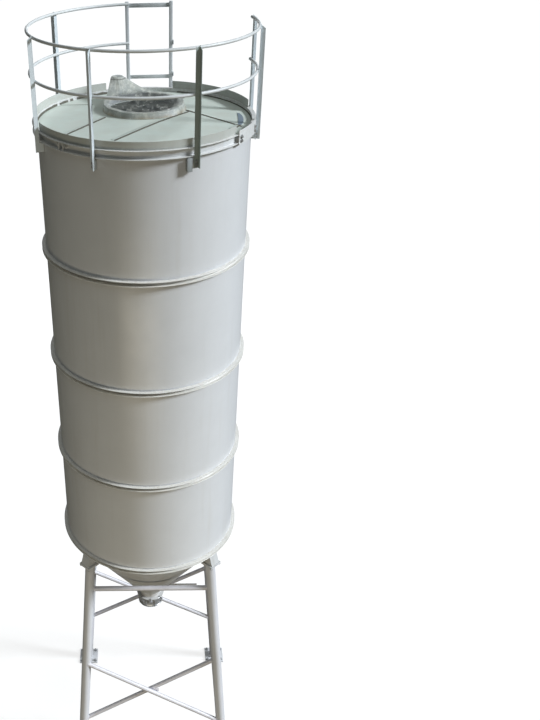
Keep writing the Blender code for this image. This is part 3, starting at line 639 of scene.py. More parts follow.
# Toe boards
# Flat bar of 90 mm rolled to the curb and tacked on its top, so that nothing is kicked off the
# roof. One runs round the front, one at the rear left and one at the rear right.
TOE_RADIUS = BIN_RADIUS + 0.017
TOE_SPANS = (("toe_board_front", -68.0, 120.5), ("toe_board_rear_left", -158.0, 86.0),
             ("toe_board_rear_right", 102.0, 61.0))
toe_paint = painted_steel("toe_paint", (0.52, 0.54, 0.51), grime=(0.36, 0.32, 0.24), streaks=0.3, wear=0.2,
                          dust=0.15, gloss=0.42, spread=0.10, worn=(0.34, 0.26, 0.18))
for node, start, sweep in TOE_SPANS:
    low, high = CURB_HIGH + GAP, CURB_HIGH + GAP + 0.090
    inner = TOE_RADIUS - 0.005
    work = bmesh.new()
    outline = [(inner, low), (TOE_RADIUS, low), (TOE_RADIUS, (low + high) / 2), (TOE_RADIUS, high - 0.001),
               (TOE_RADIUS - 0.001, high), (inner + 0.001, high), (inner, high - 0.001)]
    add_ring(work, outline, start, sweep, int(sweep), wave=plate_dish)
    for tack in range(int(sweep / 9)):
        spots = [polar(start + 4 + 9 * tack + 0.3 * step, TOE_RADIUS + 0.002, low + 0.002)
                 for step in range(8)]
        add_bead(work, spots, (0, 0, 1), 0.004, False, tack)
    dress(new_piece(f"{node}_bar", work), toe_paint, replaces=(node,))

# Roof
# A shallow cone of plates that lap over each other and are seam welded, with a round opening set
# back from the middle. Cement dust lies on it. Dark strips along the laps and round the rim corner are
# partly grime and mastic, partly painted shade, and a dark strip near the right rim is painted shadow.
ROOF_RISE = 0.045
FILTER_RADIUS = 0.430
FILTER_PLACE = Vector((0.0, 0.370))
ROOF_CROWN = BIN_TOP + ROOF_RISE
ROOF_EDGE = BIN_RADIUS - GAP
LAPS = (((-0.904, -0.592), (-0.455, 0.015)), ((-0.324, -0.807), (0.527, 0.203)),
        ((0.480, 0.290), (1.107, -0.349)), ((-0.62, 0.62), (-1.02, 0.66)), ((0.42, 0.78), (0.62, 1.04)),
        ((0.995, -0.450), (1.095, -0.300)))
RIM_RUNS = ((-158.5, -149.5, 0.032), (-147.0, -138.0, 0.032), (-135.0, -133.0, 0.032),
            (-131.0, -124.0, 0.032), (-121.5, -90.0, 0.032), (-90.0, 96.0, 0.010), (96.0, 160.0, 0.014))
roof_paint = painted_steel("roof_paint", (0.66, 0.73, 0.68), grime=(0.42, 0.41, 0.33), streaks=0.2, wear=0.0,
                           dust=0.25, gloss=0.45, ripple=120.0, depth=0.12, spread=0.10)
# Near-black brown for the strips along the laps and round the rim: grime and mastic, partly painted shade
seam_grime_and_painted_shade = painted_steel("seam_grime_and_painted_shade", (0.10, 0.095, 0.075), wear=0.0, dust=0.05, gloss=0.6)


def roof_height(radius):
    return ROOF_CROWN - ROOF_RISE * radius / ROOF_EDGE


def add_strip(work, sections):
    # Closed sections joined to each other in turn, with an end face on the first and the last
    rings = [[work.verts.new(point) for point in section] for section in sections]
    for first, second in zip(rings, rings[1:]):
        for index in range(len(first)):
            after = (index + 1) % len(first)
            work.faces.new((first[index], first[after], second[after], second[index]))
    work.faces.new(rings[0])
    work.faces.new(rings[-1])


work = bmesh.new()
sections = []
for step in range(180):
    heading = Vector((cos(2 * pi * step / 180), sin(2 * pi * step / 180)))
    lean = FILTER_PLACE.dot(heading)
    reach = -lean + sqrt(lean ** 2 + ROOF_EDGE ** 2 - FILTER_PLACE.length_squared)
    line = [FILTER_PLACE + heading * (FILTER_RADIUS + (reach - FILTER_RADIUS) * part / 12)
            for part in range(13)]
    sections.append([work.verts.new((*flat, roof_height(flat.length))) for flat in line]
                    + [work.verts.new((*flat, roof_height(flat.length) - PLATE)) for flat in reversed(line)])
for first, second in zip(sections, sections[1:] + sections[:1]):
    for index in range(26):
        after = (index + 1) % 26
        work.faces.new((first[index], second[index], second[after], first[after]))
dress(new_piece("roof_cone", work), roof_paint, replaces=("roof_plate",))
# Each lap gets its raised plate edge and a dark strip along the step: partly grime in the seam, partly
# painted shadow under the step
for number, (start, end) in enumerate(LAPS, start=1):
    start, end = Vector(start), Vector(end)
    along = (end - start).normalized()
    across = Vector((-along.y, along.x))
    plate_edge, dark_grime_and_shade_strip = bmesh.new(), bmesh.new()
    edge_section = ((0.004, 0.0005), (0.005, 0.005), (0.050, 0.0045), (0.058, 0.0005))
    seam_section = ((-0.016, 0.0005), (-0.008, 0.006), (0.004, 0.0075), (0.010, 0.0008))
    for target, section in ((plate_edge, edge_section), (dark_grime_and_shade_strip, seam_section)):
        strip = []
        for step in range(61):
            flat = start.lerp(end, step / 60)
            sway = 0.003 * noise.noise(Vector((step * 0.25, flat.x, 2.0))) if target is dark_grime_and_shade_strip else 0.0
            spots = [(flat + across * (shift + sway), lift) for shift, lift in section]
            strip.append([Vector((*spot, roof_height(spot.length) + lift)) for spot, lift in spots])
        add_strip(target, strip)
    dress(new_piece(f"lap_edge_{number}", plate_edge), roof_paint)
    dress(new_piece(f"lap_grime_and_painted_shadow_{number}", dark_grime_and_shade_strip), seam_grime_and_painted_shade)
# A dark strip standing against the curb's inner face round the roof rim, tallest at the rear left: partly
# dirt and mastic, partly painted shade in the corner
work = bmesh.new()
for start, end, tall in RIM_RUNS:
    count = max(4, int(end - start))
    strip = []
    for step in range(count + 1):
        azimuth = start + (end - start) * step / count
        rise = tall * (0.85 + 0.25 * noise.noise(Vector((azimuth * 0.3, 5.0, 0.0))))
        section = ((1.2492, 0.001), (1.2492, rise), (1.2470, rise), (1.2410, 0.0035))
        strip.append([polar(azimuth, radius, BIN_TOP + height) for radius, height in section])
    add_strip(work, strip)
dress(new_piece("rim_grime_and_painted_shade", work), seam_grime_and_painted_shade)
# A dark grey-blue curved strip lying on the roof inside the rim at the right: painted shadow, a dark piece
# set where there is only shade
work = bmesh.new()
strip = []
for step in range(25):
    half = 0.031 * sin(pi * (0.12 + step * 0.035)) ** 0.5
    section = ((1.125 - half, 0.0005), (1.125 - half, 0.005), (1.125 + half, 0.005), (1.125 + half, 0.0005))
    strip.append([polar(74.5 + step, radius, roof_height(radius) + lift) for radius, lift in section])
add_strip(work, strip)
painted_shadow_paint = painted_steel("painted_shadow_paint", (0.20, 0.26, 0.33), wear=0.0, dust=0.1)
dress(new_piece("painted_shadow_strip", work), painted_shadow_paint)

# Filter collar and relief stub
# The opening has a low flanged collar for a dust filter that isn't there, its foot cut to the roof
# and welded. Behind it a short lipped pipe stands up for the relief valve.
FILTER_FLANGE = 0.035
STUB_PLACE = Vector((-0.322, 0.930))
STUB_RADIUS = 0.052
COLLAR_TOP = ROOF_CROWN + 0.055
STUB_TOP = ROOF_CROWN + 0.225
collar_paint = painted_steel("collar_paint", (0.42, 0.44, 0.46), grime=(0.16, 0.12, 0.09), streaks=0.8,
                             wear=0.3, dust=0.4, gloss=0.45)
wall, rim = FILTER_RADIUS + PLATE, FILTER_RADIUS + FILTER_FLANGE
work = bmesh.new()
sections, foot_line = [], []
for step in range(120):
    heading = Vector((cos(2 * pi * step / 120), sin(2 * pi * step / 120)))
    outer_foot = roof_height((FILTER_PLACE + heading * wall).length) + GAP
    inner_foot = roof_height((FILTER_PLACE + heading * FILTER_RADIUS).length) + GAP
    outline = ((FILTER_RADIUS, inner_foot), (wall, outer_foot), (wall, COLLAR_TOP - PLATE - 0.004),
               (wall + 0.004, COLLAR_TOP - PLATE), (rim, COLLAR_TOP - PLATE), (rim, COLLAR_TOP - 0.001),
               (rim - 0.001, COLLAR_TOP), (FILTER_RADIUS, COLLAR_TOP))
    sections.append([work.verts.new((*(FILTER_PLACE + heading * radius), height))
                     for radius, height in outline])
    foot_line.append(Vector((*(FILTER_PLACE + heading * wall), outer_foot + 0.001)))
for first, second in zip(sections, sections[1:] + sections[:1]):
    for index in range(8):
        after = (index + 1) % 8
        work.faces.new((first[index], second[index], second[after], first[after]))
add_bead(work, foot_line, (0, 0, 1), 0.005, seed=11)
dress(new_piece("collar_ring", work), collar_paint, replaces=("filter_collar",))
work = bmesh.new()
stub_foot = roof_height(STUB_PLACE.length - STUB_RADIUS) + GAP
lip, under = STUB_RADIUS + 0.008, STUB_TOP - 0.018
outline = [(lip - 0.001, STUB_TOP), (lip, STUB_TOP - 0.001), (lip, under), (STUB_RADIUS, under),
           (STUB_RADIUS, stub_foot), (STUB_RADIUS - PLATE, stub_foot), (STUB_RADIUS - PLATE, STUB_TOP)]
add_ring(work, outline, steps=64)
bmesh.ops.translate(work, vec=Vector((*STUB_PLACE, 0.0)), verts=work.verts)
dress(new_piece("stub_pipe", work), collar_paint, replaces=("relief_stub",))

# Plastic film
# Builder's clear polythene, weathered and full of cement dust, laid over the open collar and the
# stub, with its hem spread on the roof. It sags over the dark opening and lies there in creases.
FILM_SLACK = 0.016
FILM_CLEARANCE = 0.0045
FILM_FALL = 0.400
FILM_CURVE = 1.7
FILM_FLARE = 0.033
film = bpy.data.materials.new("dusty_film")
film.use_nodes = True
tree = film.node_tree
shader = tree.nodes["Principled BSDF"]
place = tree.nodes.new("ShaderNodeTexCoord").outputs["Object"]
height = tree.nodes.new("ShaderNodeSeparateXYZ")
tree.links.new(place, height.inputs[0])
from_middle = tree.nodes.new("ShaderNodeVectorMath")
from_middle.operation = "DISTANCE"
tree.links.new(stretched(tree, place, (1.0, 1.0, 0.0)), from_middle.inputs[0])
from_middle.inputs[1].default_value = (*FILTER_PLACE, 0.0)
over_hole = window(tree, from_middle.outputs["Value"], FILTER_RADIUS + 0.012, FILTER_RADIUS - 0.030)
cloud = window(tree, noise_node(tree, place, 5.0, 8.0, 0.62), 0.32, 0.68)
crease = window(tree, noise_node(tree, stretched(tree, place, (1.0, 0.42, 1.0)), 17.0, 6.0, 0.66), 0.46, 0.62)
hem_dirt = window(tree, height.outputs["Z"], COLLAR_TOP - 0.022, ROOF_CROWN - 0.008)
raised = window(tree, height.outputs["Z"], COLLAR_TOP + 0.012, COLLAR_TOP + 0.060)
neck_line = math_node(tree, "COMPARE", height.outputs["Z"], STUB_TOP - 0.016, 0.006)
clean = mixed(tree, crease, (0.50, 0.54, 0.53), (0.72, 0.74, 0.70))
dusty = mixed(tree, math_node(tree, "MULTIPLY", cloud, 0.6), clean, (0.46, 0.45, 0.38))
brown = mixed(tree, math_node(tree, "MULTIPLY", hem_dirt, cloud), dusty, (0.33, 0.25, 0.14))
brown = mixed(tree, math_node(tree, "MULTIPLY", neck_line, 0.7), brown, (0.12, 0.12, 0.10))
tree.links.new(brown, shader.inputs["Base Color"])
open_part = math_node(tree, "MULTIPLY", over_hole, math_node(tree, "SUBTRACT", 1.0, raised))
thin_part = math_node(tree, "MULTIPLY_ADD", crease, 0.26, 0.08)
thin_part = math_node(tree, "MULTIPLY_ADD", cloud, 0.14, thin_part)
thick_part = math_node(tree, "MULTIPLY_ADD", crease, 0.14, 0.70)
share = tree.nodes.new("ShaderNodeMix")
share.data_type = "FLOAT"
tree.links.new(open_part, share.inputs[0])
tree.links.new(thick_part, share.inputs[2])
tree.links.new(thin_part, share.inputs[3])
tree.links.new(share.outputs[0], shader.inputs["Alpha"])
tree.links.new(math_node(tree, "MULTIPLY_ADD", cloud, 0.30, 0.22), shader.inputs["Roughness"])
bump = tree.nodes.new("ShaderNodeBump")
bump.inputs["Strength"].default_value = 0.5
bump.inputs["Distance"].default_value = 0.003
fine = noise_node(tree, place, 45.0, 5.0, 0.6)
tree.links.new(math_node(tree, "MULTIPLY_ADD", crease, 0.6, fine), bump.inputs["Height"])
tree.links.new(bump.outputs["Normal"], shader.inputs["Normal"])


def film_reach(turn):
    # How far the film's outline lies from the stub, turned from the line to the collar's middle
    far = FILTER_RADIUS + FILTER_FLANGE + FILM_SLACK
    near = STUB_RADIUS + 0.008 + FILM_SLACK
    span = (STUB_PLACE - FILTER_PLACE).length
    side = pi - acos((far - near) / span)
    touch = atan2(far * sin(side), span + far * cos(side))
    if abs(turn) > side:
        return near
    if abs(turn) > touch:
        return near / cos(side - abs(turn))
    return span * cos(turn) + sqrt(far ** 2 - (span * sin(turn)) ** 2)


def film_height(away, flat):
    # Taut from the stub's rim down to the collar, and slack over the collar's opening
    peak = STUB_RADIUS + FILM_SLACK
    lift = (STUB_TOP - COLLAR_TOP) * max(0.0, 1.0 - max(0.0, away - peak) / FILM_FALL) ** FILM_CURVE
    inside = max(0.0, 1.0 - ((flat - FILTER_PLACE).length / FILTER_RADIUS) ** 4)
    folds = noise.noise(Vector((flat.x * 9.0, flat.y * 9.0, 1.0))) + 0.5 * noise.noise(flat.to_3d() * 22.0)
    return COLLAR_TOP + FILM_CLEARANCE + lift - inside * (0.024 - 0.014 * folds)


SPOKES, RINGS, SKIRT = 220, 64, 10
peak = STUB_RADIUS + FILM_SLACK
to_collar = atan2(FILTER_PLACE.y - STUB_PLACE.y, FILTER_PLACE.x - STUB_PLACE.x)
work = bmesh.new()
grid = []
middle = work.verts.new((*STUB_PLACE, STUB_TOP + FILM_CLEARANCE))
for spoke in range(SPOKES):
    turn = 2 * pi * spoke / SPOKES - pi
    heading = Vector((cos(to_collar + turn), sin(to_collar + turn)))
    reach = film_reach(turn)
    pleat = noise.noise(Vector((4.5 * cos(turn), 4.5 * sin(turn), 0.0)))
    ripple = noise.noise(Vector((19.0 * cos(turn), 19.0 * sin(turn), 3.0)))
    line = []
    for ring in range(1, RINGS + 1):
        away = reach * (ring / RINGS) ** 1.1
        flat = STUB_PLACE + heading * away
        crimp = 0.0 if away < peak else min(1.0, (away - peak) / 0.08) * (1.0 - away / (reach + 0.02))
        top = film_height(away, flat) + crimp * (0.010 * pleat + 0.005 * ripple)
        line.append(work.verts.new((*flat, top)))
    edge_height = line[-1].co.z
    for step in range(1, SKIRT + 1):
        share = step / SKIRT
        out = share * (FILM_FLARE + 0.006 * pleat + 0.005 * ripple)
        flat = STUB_PLACE + heading * (reach + out)
        hem = roof_height(flat.length) + 0.004
        line.append(work.verts.new((*flat, edge_height + (hem - edge_height) * share ** 0.8)))
    grid.append(line)
for index, line in enumerate(grid):
    other = grid[(index + 1) % SPOKES]
    work.faces.new((middle, line[0], other[0]))
    for inner, outer in zip(range(len(line) - 1), range(1, len(line))):
        work.faces.new((line[inner], line[outer], other[outer], other[inner]))
cover = dress(new_piece("film_sheet", work, 180.0), film, replaces=("film_cover",))

# Railing
# Round tube in two runs, bent to the curb and welded inside posts of 50 mm steel angle. The posts
# stand outside the curb, each welded through a cleat to the shell, their tops cut to a slope.
RAIL_TUBE = 0.017
RAIL_RADIUS = HOOP_RADIUS - RAIL_TUBE
TOP_RAIL, MID_RAIL = BIN_TOP + 1.039, BIN_TOP + 0.584
RAIL_START, RAIL_END = -172.35, 104.9
POST_AZIMUTHS = (-127.5, -65.5, -25.0, 25.0, 79.5, 104.0)
rail_paint = painted_steel("rail_paint", (0.68, 0.70, 0.71), grime=(0.30, 0.26, 0.20), streaks=0.2, wear=0.0,
                           dust=0.15, gloss=0.40, spread=0.12)
pale_post = painted_steel("pale_post", (0.68, 0.74, 0.78), grime=(0.30, 0.27, 0.22), streaks=0.3, wear=0.0,
                          dust=0.1, gloss=0.40, spread=0.12)
dark_post = painted_steel("dark_post", (0.36, 0.42, 0.40), grime=(0.22, 0.20, 0.16), streaks=0.4, wear=0.0,
                          dust=0.1, gloss=0.42, spread=0.12)
for name, height in (("top_rail", TOP_RAIL), ("mid_rail", MID_RAIL)):
    work = bmesh.new()
    count = 220
    add_tube(work, [polar(RAIL_START + (RAIL_END - RAIL_START) * step / count, RAIL_RADIUS, height)
                    for step in range(count + 1)], RAIL_TUBE, 20)
    for azimuth in POST_AZIMUTHS:
        for way in (-1, 1):
            spots = [polar(azimuth + 0.12 * step - 0.9, HOOP_RADIUS - 0.003, height + way * 0.0095)
                     for step in range(16)]
            add_bead(work, spots, (0, 0, 1), 0.004, False, azimuth)
    dress(new_piece(f"{name}_tube", work), rail_paint, replaces=(name,))
POST_LOW, POST_HIGH = BIN_TOP - 0.180, BIN_TOP + 1.062
POST_FACE = HOOP_RADIUS + GAP
for number, azimuth in enumerate(POST_AZIMUTHS, start=1):
    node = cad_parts[f"rail_post_{number}"]
    node.data.materials.clear()
    node.data.materials.append(dark_post if number == 4 else pale_post)
    turn = Matrix.Rotation(radians(azimuth), 3, "Z")
    work = bmesh.new()
    for height in (POST_LOW + 0.030, POST_LOW + 0.070):
        add_bolt(work, turn @ Vector((0.0, -POST_FACE - 0.0052, height)), turn @ Vector((0, -1, 0)), 0.020)
    for way in (-1, 1):
        side = 0.0215 + way * 0.0035
        spots = [turn @ Vector((side, -BIN_RADIUS - 0.0012, POST_LOW + 0.004 + 0.092 * step / 20))
                 for step in range(21)]
        add_bead(work, spots, turn @ Vector((1, 0, 0)), 0.0035, False, number)
    dress(new_piece(f"post_fixings_{number}", work), bolt_zinc)
work = bmesh.new()
turn = Matrix.Rotation(radians(21.7), 3, "Z")
add_block(work, (0.060, 0.006, 0.153), turn @ Vector((0.0, -POST_FACE - 0.0035, 10.5105)), turn)
add_block(work, (0.006, 0.050, 0.120), turn @ Vector((-0.024, -BIN_RADIUS - 0.0255, 10.499)), turn)
tab_paint = painted_steel("tab_paint", (0.34, 0.37, 0.38), wear=0.0, streaks=0.3, dust=0.1)
dress(new_piece("post_foot_tab", work), tab_paint)

# Ladder
# Two stiles of 45 by 30 mm tube with round rungs welded between them, reaching up past the curb so
# that one can step through to the roof. Four straps hold it off the back of the bin.
LADDER_LEFT, LADDER_RIGHT = -0.190, 0.350
STILE_WIDTH, STILE_DEPTH = 0.045, 0.030
STILE_FACE = sqrt(HOOP_RADIUS ** 2 - (LADDER_LEFT + STILE_WIDTH / 2) ** 2) + GAP
LADDER_FOOT, LADDER_TOP = 2.550, BIN_TOP + 1.062
LADDER_BRACKETS = (5.40, 7.10, 8.60, 10.10)
RUNG_PITCH = 0.300
ladder_paint = painted_steel("ladder_paint", (0.70, 0.73, 0.75), grime=(0.30, 0.27, 0.22), streaks=0.3,
                             wear=0.0, dust=0.1, gloss=0.42, spread=0.12)
work = bmesh.new()
line = STILE_FACE + STILE_DEPTH / 2
middle_x = (LADDER_LEFT + LADDER_RIGHT) / 2
clear = LADDER_RIGHT - LADDER_LEFT - STILE_WIDTH
for x in (LADDER_LEFT, LADDER_RIGHT):
    add_block(work, (STILE_WIDTH, STILE_DEPTH, LADDER_TOP - LADDER_FOOT),
              (x, line, (LADDER_TOP + LADDER_FOOT) / 2), ease=0.005)
add_block(work, (clear, 0.008, 0.050), (middle_x, line, LADDER_TOP - 0.045))
add_block(work, (clear, 0.008, 0.045), (middle_x, line, BIN_TOP + 0.170))
height = BIN_TOP + 0.170 - RUNG_PITCH
while height > LADDER_FOOT + 0.100:
    ends = [Vector((x, line, height)) for x in (middle_x - clear / 2 - 0.002, middle_x + clear / 2 + 0.002)]
    add_tube(work, ends, 0.012, 16)
    for spot, way in zip(ends, (1, -1)):
        spots = circle_spots(spot + Vector((0.003 * way, 0, 0)), (1, 0, 0), 0.0125, 20)
        add_bead(work, spots, (1, 0, 0), 0.0035, seed=height)
    height -= RUNG_PITCH
dress(new_piece("ladder_frame", work), ladder_paint, replaces=("ladder",))
for number, height in enumerate(LADDER_BRACKETS, start=1):
    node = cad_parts[f"ladder_bracket_{number}"]
    node.data.materials.clear()
    node.data.materials.append(ladder_paint)
    work = bmesh.new()
    for x in (LADDER_LEFT, LADDER_RIGHT):
        outer = sqrt(BIN_RADIUS ** 2 - x ** 2)
        for way in (-1, 1):
            spots = [Vector((x + way * 0.005, outer + 0.002, height - 0.018 + 0.036 * step / 10))
                     for step in range(11)]
            add_bead(work, spots, (1, 0, 0), 0.004, False, number)
        add_bolt(work, (x, line + STILE_DEPTH / 2, height), (0, 1, 0), 0.018)
    dress(new_piece(f"strap_fixings_{number}", work), bolt_zinc)
# Two small lugs on the right stile
work = bmesh.new()
add_block(work, (0.014, 0.040, 0.050), (LADDER_RIGHT + STILE_WIDTH / 2 + 0.0065, line - 0.004, 11.234))
add_block(work, (0.014, 0.040, 0.050), (LADDER_RIGHT + STILE_WIDTH / 2 + 0.0065, line - 0.004, 10.850))
dress(new_piece("stile_lugs", work), ladder_paint)

# Hopper cone
# Rolled from 5 mm plate with a welded side seam, drawing down to a short neck with a flange that
# the valve is bolted under. Cement grime has run down it.
CONE_LOW = BIN_BOTTOM - GAP - 1.600
OUTLET_RADIUS, OUTLET_FLANGE = 0.165, 0.215
FLANGE_TOP = CONE_LOW - 0.060
CONE_HIGH = BIN_BOTTOM - GAP
cone_paint = painted_steel("cone_paint", (0.60, 0.60, 0.60), grime=(0.34, 0.30, 0.24), streaks=0.6, wear=0.4,
                           dust=0.2, gloss=0.38, ripple=90.0, depth=0.06)
outer_line = [(BIN_RADIUS, CONE_HIGH), (BIN_RADIUS, CONE_HIGH - 0.018),
              (BIN_RADIUS - 0.002, CONE_HIGH - 0.022)]
outer_line += [(BIN_RADIUS + (OUTLET_RADIUS - BIN_RADIUS) * index / 12,
                CONE_HIGH - 0.020 + (CONE_LOW - CONE_HIGH + 0.020) * index / 12) for index in range(1, 13)]
outer_line += [(OUTLET_RADIUS, FLANGE_TOP + 0.002), (OUTLET_FLANGE - 0.001, FLANGE_TOP),
               (OUTLET_FLANGE, FLANGE_TOP - 0.001), (OUTLET_FLANGE, FLANGE_TOP - PLATE)]
inner_line = [(OUTLET_RADIUS - PLATE, FLANGE_TOP - PLATE), (OUTLET_RADIUS - PLATE, CONE_LOW - 0.002),
              (BIN_RADIUS - 0.006, CONE_HIGH - 0.022), (BIN_RADIUS - PLATE, CONE_HIGH)]
work = bmesh.new()
add_ring(work, outer_line + inner_line)
spots = []
for step in range(121):
    share = 0.02 + 0.96 * step / 120
    radius = BIN_RADIUS + (OUTLET_RADIUS - BIN_RADIUS) * share
    spots.append(polar(140, radius - 0.001, CONE_HIGH - 0.020 + (CONE_LOW - CONE_HIGH + 0.020) * share))
add_bead(work, spots, polar(140, 0.8, -0.6), 0.005, False, 3)
add_bead(work, circle_spots((0, 0, CONE_LOW), (0, 0, 1), OUTLET_RADIUS + 0.001), (0, 0, 1), 0.005, seed=5)
dress(new_piece("cone_plate", work), cone_paint, replaces=("hopper_cone",))

# Butterfly valve
# A cast aluminium valve bolted under the cone, with rounded shoulders and a boss for the stem at
# the front and back. The disc turns on a steel stem.
VALVE_TOP = FLANGE_TOP - PLATE - GAP
VALVE_LOW = VALVE_TOP - 0.180
VALVE_AXIS = VALVE_TOP - 0.090
BORE = OUTLET_RADIUS - PLATE
cast_metal = bpy.data.materials.new("cast_aluminium")
cast_metal.use_nodes = True
tree = cast_metal.node_tree
shader = tree.nodes["Principled BSDF"]
place = tree.nodes.new("ShaderNodeTexCoord").outputs["Object"]
blotch = window(tree, noise_node(tree, place, 14.0, 6.0, 0.6), 0.35, 0.68)
tree.links.new(mixed(tree, blotch, (0.72, 0.73, 0.76), (0.46, 0.46, 0.47)), shader.inputs["Base Color"])
shader.inputs["Metallic"].default_value = 0.75
tree.links.new(math_node(tree, "MULTIPLY_ADD", blotch, 0.22, 0.22), shader.inputs["Roughness"])
bump = tree.nodes.new("ShaderNodeBump")
bump.inputs["Strength"].default_value = 0.25
bump.inputs["Distance"].default_value = 0.002
tree.links.new(noise_node(tree, place, 160.0, 3.0), bump.inputs["Height"])
tree.links.new(bump.outputs["Normal"], shader.inputs["Normal"])
work = bmesh.new()
outer = BORE + 0.020
face, low_face = OUTLET_FLANGE, OUTLET_FLANGE - 0.020
outline = [(BORE, VALVE_TOP), (face - 0.002, VALVE_TOP), (face, VALVE_TOP - 0.002), (face, VALVE_TOP - 0.008),
           (face - 0.002, VALVE_TOP - 0.010), (outer + 0.004, VALVE_TOP - 0.010), (outer, VALVE_TOP - 0.016)]
outline += [(outer, VALVE_LOW + 0.016), (outer + 0.003, VALVE_LOW + 0.010),
            (low_face - 0.002, VALVE_LOW + 0.010), (low_face, VALVE_LOW + 0.008),
            (low_face, VALVE_LOW + 0.002), (low_face - 0.002, VALVE_LOW), (BORE, VALVE_LOW)]
add_ring(work, outline, steps=120)
for way in (-1, 1):
    for radius, start, end in ((0.030, BORE + 0.012, outer + 0.013), (0.026, outer + 0.013, outer + 0.015)):
        add_tube(work, [(0, way * start, VALVE_AXIS), (0, way * end, VALVE_AXIS)], radius, 36)
for rib in range(8):
    azimuth = 45 * rib + 22.5
    add_block(work, (0.010, 0.018, 0.150), polar(azimuth, outer + 0.006, VALVE_AXIS),
              Matrix.Rotation(radians(azimuth), 3, "Z"), ease=0.003)
dress(new_piece("valve_casting", work), cast_metal, replaces=("valve_body",))
work = bmesh.new()
for bolt in range(8):
    azimuth = 45 * bolt
    spot = polar(azimuth, outer + 0.022, 0.0)
    add_bolt(work, spot + Vector((0, 0, FLANGE_TOP)), (0, 0, 1), 0.016)
    add_bolt(work, spot + Vector((0, 0, VALVE_TOP - 0.010)), (0, 0, -1), 0.016)
dress(new_piece("valve_bolts", work), bolt_zinc)
work = bmesh.new()
disc_radius = BORE - 0.006
dish = [(0.0, 0.007), (disc_radius * 0.5, 0.0068), (disc_radius - 0.003, 0.0055), (disc_radius, 0.0025),
        (disc_radius, -0.0025), (disc_radius - 0.003, -0.0055), (disc_radius * 0.5, -0.0068), (0.0, -0.007)]
rings = []
for step in range(96):
    angle = 2 * pi * step / 96
    rings.append([work.verts.new((radius * cos(angle), radius * sin(angle), VALVE_AXIS + height))
                  for radius, height in dish[1:-1]])
top = work.verts.new((0, 0, VALVE_AXIS + dish[0][1]))
base = work.verts.new((0, 0, VALVE_AXIS + dish[-1][1]))
for step, ring in enumerate(rings):
    other = rings[(step + 1) % 96]
    work.faces.new((top, ring[0], other[0]))
    work.faces.new((base, other[-1], ring[-1]))
    for index in range(len(ring) - 1):
        work.faces.new((ring[index], ring[index + 1], other[index + 1], other[index]))
add_tube(work, [(0, -outer - 0.020, VALVE_AXIS), (0, -outer - 0.018, VALVE_AXIS),
                (0, outer + 0.063, VALVE_AXIS)], 0.014, 28)
for y in (-0.085, 0.085):
    add_block(work, (0.040, 0.030, 0.0145), (0, y, VALVE_AXIS), ease=0.003)
dress(new_piece("disc_and_stem", work), cast_metal, body=FLAP, replaces=("valve_disc",))

# Hand lever
# Flat iron bar in a forged block, keyed on the rear end of the stem. It lies across the flow when
# the valve is shut, and swings down a quarter turn to open it.
lever_iron = bpy.data.materials.new("lever_iron")
lever_iron.use_nodes = True
tree = lever_iron.node_tree
shader = tree.nodes["Principled BSDF"]
place = tree.nodes.new("ShaderNodeTexCoord").outputs["Object"]
split = tree.nodes.new("ShaderNodeSeparateXYZ")
tree.links.new(place, split.inputs[0])
bare = window(tree, split.outputs["X"], 0.255, 0.275)
rust = window(tree, noise_node(tree, place, 30.0, 6.0, 0.68), 0.46, 0.66)
dark_end = mixed(tree, rust, (0.035, 0.035, 0.038), (0.12, 0.07, 0.045))
grey_end = mixed(tree, rust, (0.36, 0.37, 0.38), (0.22, 0.16, 0.12))
base = mixed(tree, bare, dark_end, grey_end)
base = mixed(tree, placed(tree, worn_edges, Amount=0.8)["Mask"], base, (0.45, 0.45, 0.46))
tree.links.new(base, shader.inputs["Base Color"])
shader.inputs["Metallic"].default_value = 0.3
tree.links.new(math_node(tree, "MULTIPLY_ADD", rust, 0.25, 0.42), shader.inputs["Roughness"])
hub_middle = outer + 0.015 + 0.012 + 0.018
work = bmesh.new()
rings = [(0.015, -0.016), (0.032, -0.016), (0.034, -0.014), (0.034, 0.014), (0.032, 0.016), (0.015, 0.016)]
loops = []
for step in range(48):
    angle = 2 * pi * step / 48
    loops.append([work.verts.new((radius * cos(angle), hub_middle + shift, VALVE_AXIS + radius * sin(angle)))
                  for radius, shift in rings])
for step, loop in enumerate(loops):
    other = loops[(step + 1) % 48]
    for index in range(6):
        after = (index + 1) % 6
        work.faces.new((loop[index], loop[after], other[after], other[index]))
add_block(work, (0.225, 0.024, 0.050), (0.1375, hub_middle, VALVE_AXIS), ease=0.006)
add_block(work, (0.540, 0.010, 0.034), (0.500, hub_middle, VALVE_AXIS), ease=0.003)
for x in (0.075, 0.190):
    add_bolt(work, (x, hub_middle - 0.012, VALVE_AXIS), (0, -1, 0), 0.016)
    add_bolt(work, (x, hub_middle + 0.012, VALVE_AXIS), (0, 1, 0), 0.016)
dress(new_piece("lever_bar", work), lever_iron, body=FLAP, replaces=("valve_lever",))

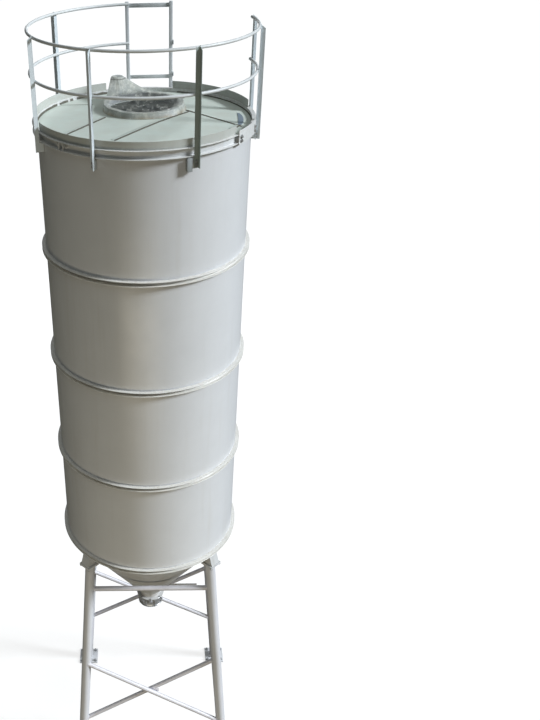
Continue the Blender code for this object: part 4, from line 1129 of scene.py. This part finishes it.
# Floor and light
# A pale studio floor. The main light comes from the right, as the sun did, with a soft one from the
# sky overhead and a warm low one in front, which keeps the shaded side of the bin readable.
floor_mesh = bpy.data.meshes.new("floor")
work = bmesh.new()
bmesh.ops.create_circle(work, cap_ends=True, segments=96, radius=160.0)
work.to_mesh(floor_mesh)
work.free()
floor = bpy.data.objects.new("studio_floor", floor_mesh)
bpy.context.scene.collection.objects.link(floor)
floor_paint = bpy.data.materials.new("pale_floor")
floor_paint.use_nodes = True
tree = floor_paint.node_tree
near = tree.nodes["Principled BSDF"]
near.inputs["Base Color"].default_value = (0.30, 0.30, 0.30, 1.0)
near.inputs["Emission Color"].default_value = (1.0, 1.0, 1.0, 1.0)
near.inputs["Emission Strength"].default_value = 0.76
near.inputs["Roughness"].default_value = 0.9
near.inputs["Specular IOR Level"].default_value = 0.0
dim = tree.nodes.new("ShaderNodeBsdfDiffuse")
dim.inputs["Color"].default_value = (0.10, 0.095, 0.075, 1.0)
choose = tree.nodes.new("ShaderNodeMixShader")
tree.links.new(tree.nodes.new("ShaderNodeLightPath").outputs["Is Camera Ray"], choose.inputs[0])
tree.links.new(dim.outputs[0], choose.inputs[1])
tree.links.new(near.outputs[0], choose.inputs[2])
tree.links.new(choose.outputs[0], tree.nodes["Material Output"].inputs["Surface"])
floor.data.materials.append(floor_paint)


def add_lamp(name, kind, energy, colour, place, aim, size):
    lamp = bpy.data.lights.new(name, kind)
    lamp.energy = energy
    lamp.color = colour
    if kind == "SUN":
        lamp.angle = size
    else:
        lamp.shape = "RECTANGLE"
        lamp.size, lamp.size_y = size
    item = bpy.data.objects.new(name, lamp)
    item.location = place
    item.rotation_euler = (Vector(aim) - Vector(place)).to_track_quat("-Z", "Y").to_euler()
    bpy.context.scene.collection.objects.link(item)


SUN_WAY = Vector((0.844, -0.149, 0.515))
add_lamp("main_light", "SUN", 3.95, (0.94, 1.0, 1.05), SUN_WAY * 40, (0.0, 0.0, 0.0), radians(14))
add_lamp("sky_light", "SUN", 0.75, (0.94, 1.0, 0.97), (0.0, -6.0, 30.0), (0.0, 0.0, 0.0), radians(70))
add_lamp("front_fill", "AREA", 540.0, (1.0, 0.90, 0.70), (-1.5, -13.5, 1.4), (0.0, 0.0, 4.5), (10.0, 2.4))
add_lamp("rear_fill", "AREA", 800.0, (0.95, 0.97, 1.0), (0.0, 21.0, 9.0), (0.0, 0.0, 6.0), (12.0, 10.0))
world = bpy.data.worlds.new("studio")
bpy.context.scene.world = world
world.use_nodes = True
tree = world.node_tree
room = tree.nodes["Background"]
room.inputs["Color"].default_value = (0.80, 0.84, 0.88, 1.0)
room.inputs["Strength"].default_value = 0.03
